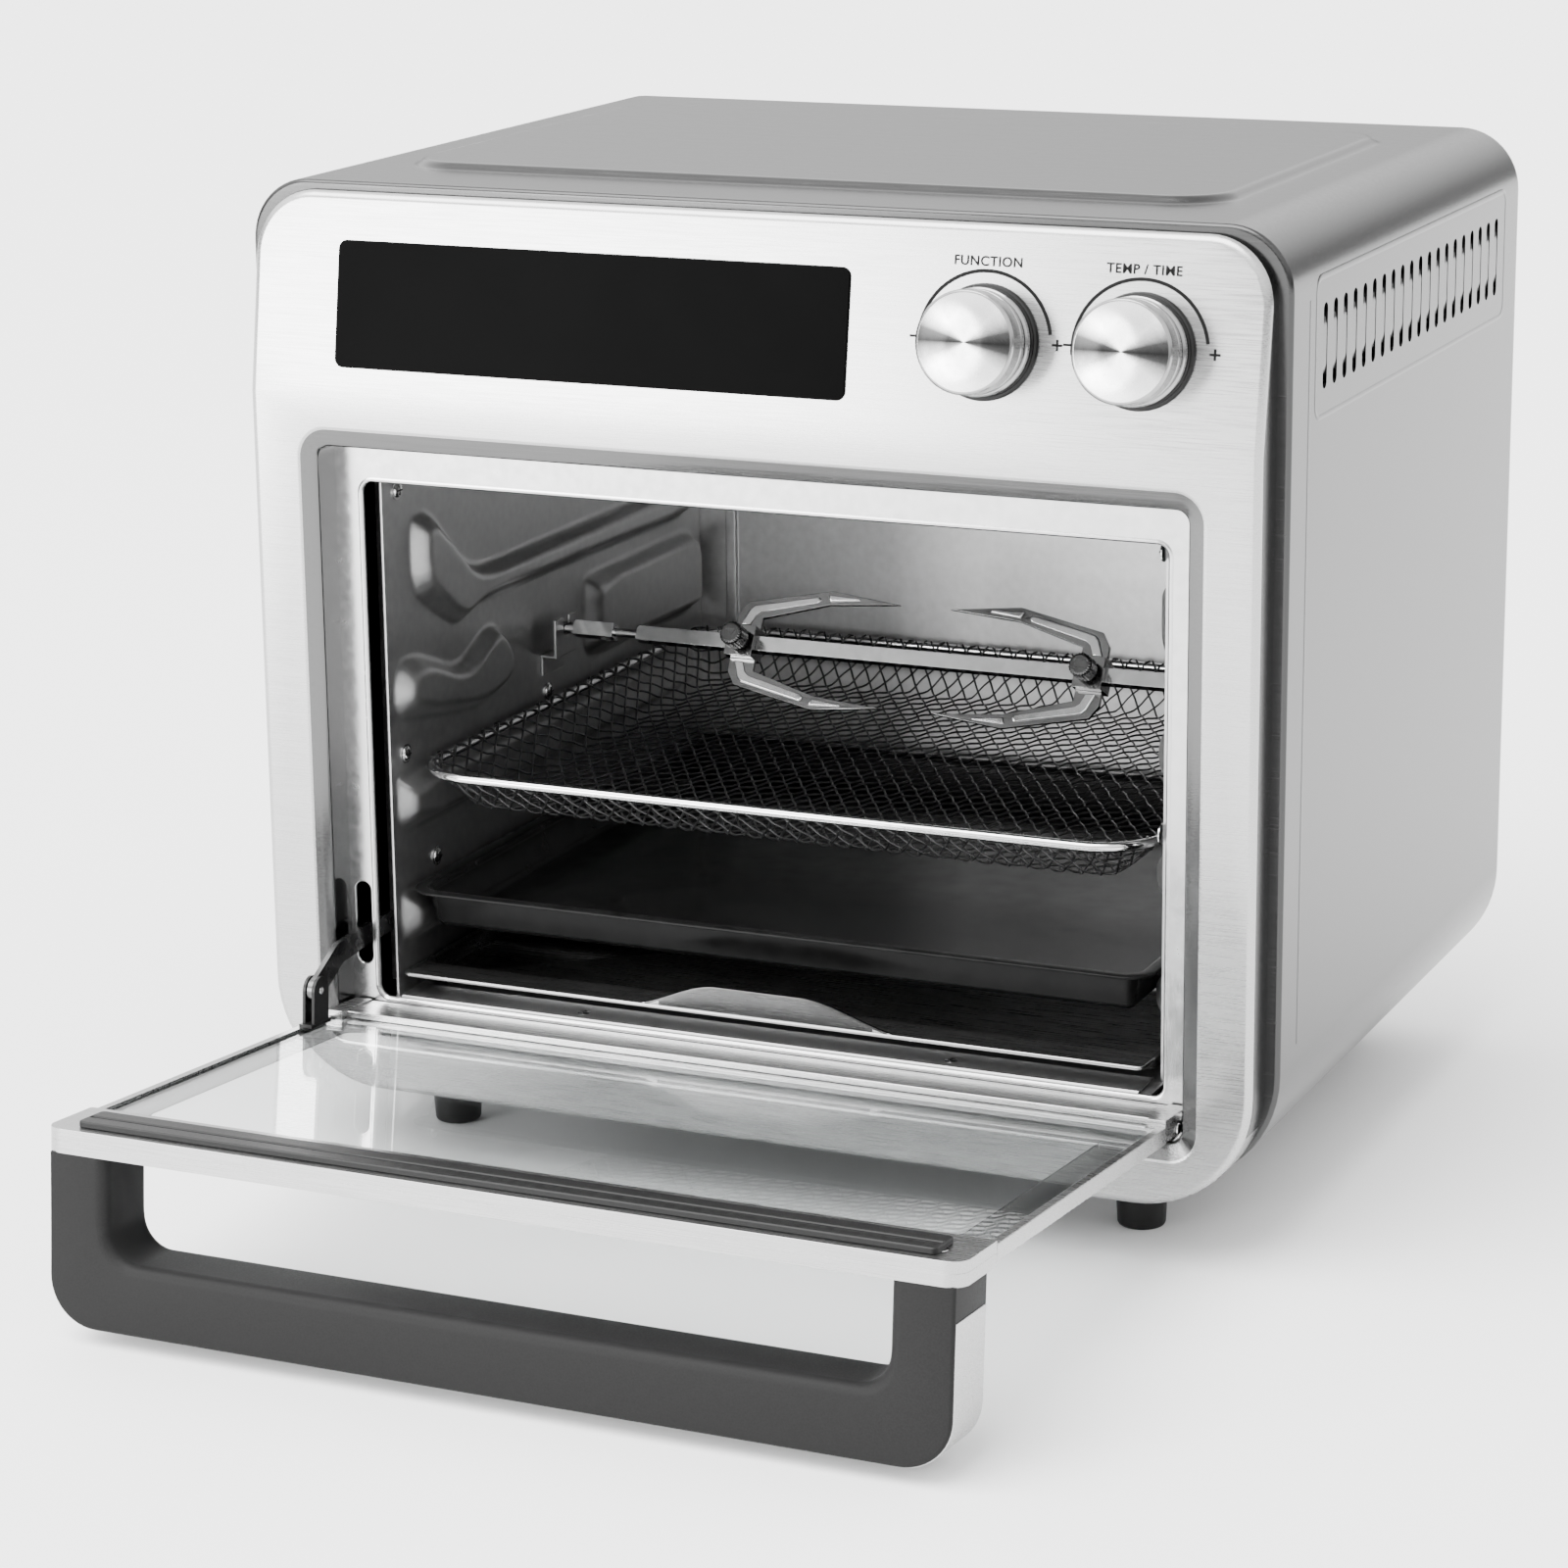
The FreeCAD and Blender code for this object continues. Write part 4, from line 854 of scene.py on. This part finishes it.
def dials():
    """Spun dials with ringed sides, their faces painted with highlight wedges, and the dark collars
    behind them.
    """
    face = [(0, -19.35), (6, -19.4), (17.2, -19.45), (17.9, -19.2)]
    side = [(18.4, -18.7), (18.4, -12.2), (18.0, -11.9), (18.0, -11.2), (18.4, -10.9), (18.4, -8.9),
            (17.2, -8.5), (17.2, -7.6), (18.6, -7.3), (19.1, -6.9), (19.1, -5.0), (18.7, -4.6),
            (12, -4.6), (12, -7), (3.05, -7)]
    for node, x in zip(("function_dial", "time_dial"), DIAL_PLACES):
        place = PANEL @ Matrix.Translation(Vector((x, 0, DIAL_UP)) * MM)
        thing = make(node + "_spun_painted_highlights", [lathe(face + side, "y", (0, 0, 0), 96)], place, sharp=20)
        register(thing, node)
        thing.data.materials.append(DIAL_SIDE)
        for part in thing.data.polygons:
            part.material_index = 1 if math.hypot(part.center.x, part.center.z) > 17.4 * MM else 0
    collar = [(8, 0), (20.6, 0), (20.6, -0.6), (20.1, -1.4), (19.3, -1.6), (19.3, -2.8),
              (18.9, -3.2), (8, -3.2)]
    rings = [lathe(collar, "y", (x, 0, DIAL_UP), 72) for x in DIAL_PLACES]
    register(make("dial_collars", rings, PANEL, sharp=25), "dial_rings")


def dial_marks():
    """Printed arc with a plus and a minus round each dial."""
    parts = []
    turns = [math.radians(turn) for turn in np.linspace(9, 186, 60)]
    low, high = 0.02, 0.09
    for x in DIAL_PLACES:
        arc = [[(x + radius * math.cos(turn), -rise, DIAL_UP + radius * math.sin(turn))
                for turn in turns]
               for radius, rise in ((25.5, low), (25.5, high), (24.2, high), (24.2, low))]
        parts.append(skin(arc, closed=False))
        bars = [(x + 27.3, 35.0, 2.0, 0.45), (x + 27.3, 35.0, 0.45, 2.0),
                (x - 26.6, 35.4, 1.6, 0.42)]
        for middle_x, middle_z, wide, tall in bars:
            loop = [(middle_x - wide, middle_z - tall), (middle_x + wide, middle_z - tall),
                    (middle_x + wide, middle_z + tall), (middle_x - wide, middle_z + tall)]
            parts.append(skin([[(a, -rise, b) for a, b in loop] for rise in (low, high)],
                              cap_last=True))
    trim(make("dial_marks", parts, PANEL, sharp=80), "front_bezel", INK)


def dial_words():
    """Generic words above the dials, in the built-in font."""
    labels = (("label_function", "FUNCTION"), ("label_time", "TEMP / TIME"))
    for (name, words), x in zip(labels, DIAL_PLACES):
        data = bpy.data.curves.new(name, "FONT")
        data.body = words
        data.align_x = "CENTER"
        data.size = 4.8 * MM
        data.offset = 0.09 * MM
        data.space_character = 1.08
        data.extrude = 0.03 * MM
        place = PANEL @ Matrix.Translation(Vector((x, -0.12, 61.2)) * MM)
        upright = Matrix.Rotation(math.radians(90), 4, "X")
        trim(add(name, data, place @ upright), "front_bezel", INK)


# ---------------------------------------------------------------- door

def handle_section(outer, inner, low, high, outer_radius, inner_radius):
    """One cross-section of the handle: out from the door first, then along its height."""
    outer, inner = Vector((*outer, 0)), Vector((*inner, 0))
    across = (inner - outer).length
    toward = (inner - outer) / across
    ring = []
    corners = ((across - inner_radius, high - inner_radius, inner_radius, 0),
               (outer_radius, high - outer_radius, outer_radius, 90),
               (outer_radius, low + outer_radius, outer_radius, 180),
               (across - inner_radius, low + inner_radius, inner_radius, 270))
    for along, up, radius, start in corners:
        for step in range(6):
            angle = math.radians(start + 90 * step / 5)
            spot = outer + toward * (along + radius * math.cos(angle))
            ring.append((spot.x, spot.y, up + radius * math.sin(angle)))
    return ring


def handle_stations():
    """Paired outer and inner points along the handle, from one leg round the bar to the other."""
    left = [((-170, -w), (-147, -min(w, 31.5))) for w in (6.5, 12, 17.9, 18.5, 30, 44, 51)]
    for step in range(1, 13):
        turn = math.radians(90 * step / 12)
        outer = (-152 - 18 * math.cos(turn), -51 - 18 * math.sin(turn))
        inner = (-135 - 12 * math.cos(turn), -31.5 - 12 * math.sin(turn))
        left.append((outer, inner))
    left += [((x, -69), (x * 0.88, -43.5)) for x in (-130, -100, -60, -20)]
    right = [((-outer[0], outer[1]), (-inner[0], inner[1])) for outer, inner in reversed(left)]
    return left + right


def handle():
    """Soft grip with a narrow metal strip let into its outside."""
    low, high = 187.0, 215.5
    rings = []
    strip = []
    for outer, inner in handle_stations():
        way = (Vector(inner) - Vector(outer)).normalized()
        rings.append(handle_section(Vector(outer) + way * 0.3, inner, low, high, 1.3, 4.5))
        if outer[1] < -18.2:
            strip.append(handle_section(outer, Vector(outer) + way * 0.8, low + 1.5, high - 1.5,
                                        0.25, 0.1))
    for name, node, sections in (("handle_grip", "handle_core", rings),
                                 ("handle_strip", "handle_trim", strip)):
        part = skin(sections, cap_first=True, cap_last=True)
        register(make(name, [part], DOOR, sharp=40), node)


def door_border():
    """Printed border on the outside of the pane, and a bright line round its clear window."""
    def window(out):
        return rounded_ring(-155 - out, 155 + out, 31 - out, 177 + out, 6, steps=6)

    outer = rounded_ring(-170, 170, 22, 200, 1.0, steps=2)
    face = plate(outer, [window(0)], lambda x, up: (x, -4.25, up))
    trim(thicken(make("pane_border", [face], DOOR), 0.08), "door_glass", FRIT)
    line = skin([[(x, -4.33 - rise, up) for x, up in window(out)]
                 for out, rise in ((0.0, 0.0), (0.0, 0.06), (0.6, 0.06), (0.6, 0.0))])
    trim(make("pane_border_line", [line], DOOR), "door_glass", POLISHED)


# ---------------------------------------------------------------- the rest, from the CAD shapes

# Nodes whose CAD shape is kept, each with the width of its rounded edges.
SOFTENED = {
    "back_panel": 0.4, "bottom_panel": 0.4, "feet": 1.2, "cord_gland": 0.8, "cavity_front_frame": 0.4,
    "cavity_rear_wall": 0.8, "fan_guard": 0.3, "convection_fan": 0.2, "fan_motor": 0.8,
    "drive_socket": 0.5, "rotisserie_motor": 0.8, "spit_bracket": 0.35, "spit_rod": 0.5,
    "door_side_rails": 0.3, "door_bottom_rail": 0.8, "door_top_trim": 0.8, "door_top_cover": 0.8,
    "door_gasket": 0.7, "hinge_blocks": 0.7, "door_pins": 0.5, "hinge_supports": 0.4,
    "door_lug": 0.35, "spring_anchor": 0.3, "display_glass": 0.35, "control_board": 0.2,
    "encoders": 0.3, "link_arm": 0.4, "chassis_screws": 0.5, "handle_screws": 0.4,
}
# The rear wall takes the lighter copy of the cavity sheet, painted light; the link arm takes its own
# dark finish.
OWN_FINISH = {"cavity_rear_wall": BACK_PAINTED_LIGHT, "link_arm": ARM}

bezel()
casing()
for wall_side in (-1, 1):
    pressed_wall(wall_side)
mouth_hem()
mouth_flange()
wall_screws()
pan()
basket()
crumb_tray()
forks()
thumb_screws()
dials()
dial_marks()
dial_words()
door_border()
handle()
for node, width in SOFTENED.items():
    softened(node, width, finish=OWN_FINISH.get(node))


# ---------------------------------------------------------------- stage, light and camera

def stage():
    """A wide pale floor."""
    left, right, front, back = -20000, 20000, -20000, 40000
    sheet = plate([(left, front), (right, front), (right, back), (left, back)], [],
                  lambda x, y: (x, y, 0))
    floor = make("floor", [sheet], Matrix())
    finish = grain(new_material("floor", grey(0.9), 0.0, 0.7), (3, 3, 3), (0.65, 0.75))
    floor.data.materials.append(finish)


def lamp(name, kind, power, toward, location=(0, 0, 0)):
    """A lamp that points along a direction. Returns its data."""
    data = bpy.data.lights.new(name, kind)
    data.energy = power
    thing = add(name, data)
    thing.location = location
    thing.rotation_euler = Vector(toward).to_track_quat("-Z", "Y").to_euler()
    return data


def light():
    """White surroundings that darken at eye level, a soft overhead sun and a softbox in front."""
    world = bpy.data.worlds.new("studio")
    world.use_nodes = True
    tree = world.node_tree
    direction = tree.nodes.new("ShaderNodeTexCoord")
    split = tree.nodes.new("ShaderNodeSeparateXYZ")
    stops = ((0.0, 0.22), (0.14, 0.26), (0.36, 0.9), (0.75, 1.0), (1.0, 0.6))
    ramp = colour_ramp(tree, [(position, grey(value)) for position, value in stops])
    sideways = map_range(tree, -1.0, 1.0, 4.4, 2.2)
    background = tree.nodes["Background"]
    tree.links.new(direction.outputs["Generated"], split.inputs["Vector"])
    tree.links.new(split.outputs["Z"], ramp.inputs["Fac"])
    tree.links.new(split.outputs["X"], sideways.inputs["Value"])
    tree.links.new(ramp.outputs["Color"], background.inputs["Color"])
    tree.links.new(sideways.outputs["Result"], background.inputs["Strength"])
    bpy.context.scene.world = world
    sun = lamp("overhead", "SUN", 6.5, (0.25, 0.45, -1))
    sun.angle = math.radians(50)
    place = Vector((-1.3, -2.2, 0.55))
    softbox = lamp("key", "AREA", 60, Vector((0, 0, 0.2)) - place, place)
    softbox.shape = "RECTANGLE"
    softbox.size, softbox.size_y = 0.9, 0.9


def camera():
    """The viewing angle, about a target at the middle of the view."""
    data = bpy.data.cameras.new("camera")
    data.lens = 102.2
    data.sensor_width = 36
    data.clip_end = 50
    thing = add("camera", data)
    azimuth, elevation, distance = math.radians(24.28), math.radians(15.13), 1627.1
    target = Vector((19.36, FACE, 167.7)) * MM
    back = Vector((math.sin(azimuth) * math.cos(elevation),
                   -math.cos(azimuth) * math.cos(elevation), math.sin(elevation)))
    thing.location = target + back * distance * MM
    turn = (-back).to_track_quat("-Z", "Y").to_matrix() @ Matrix.Rotation(math.radians(-0.69), 3, "Z")
    thing.rotation_euler = turn.to_euler()
    bpy.context.scene.camera = thing


stage()
light()
camera()
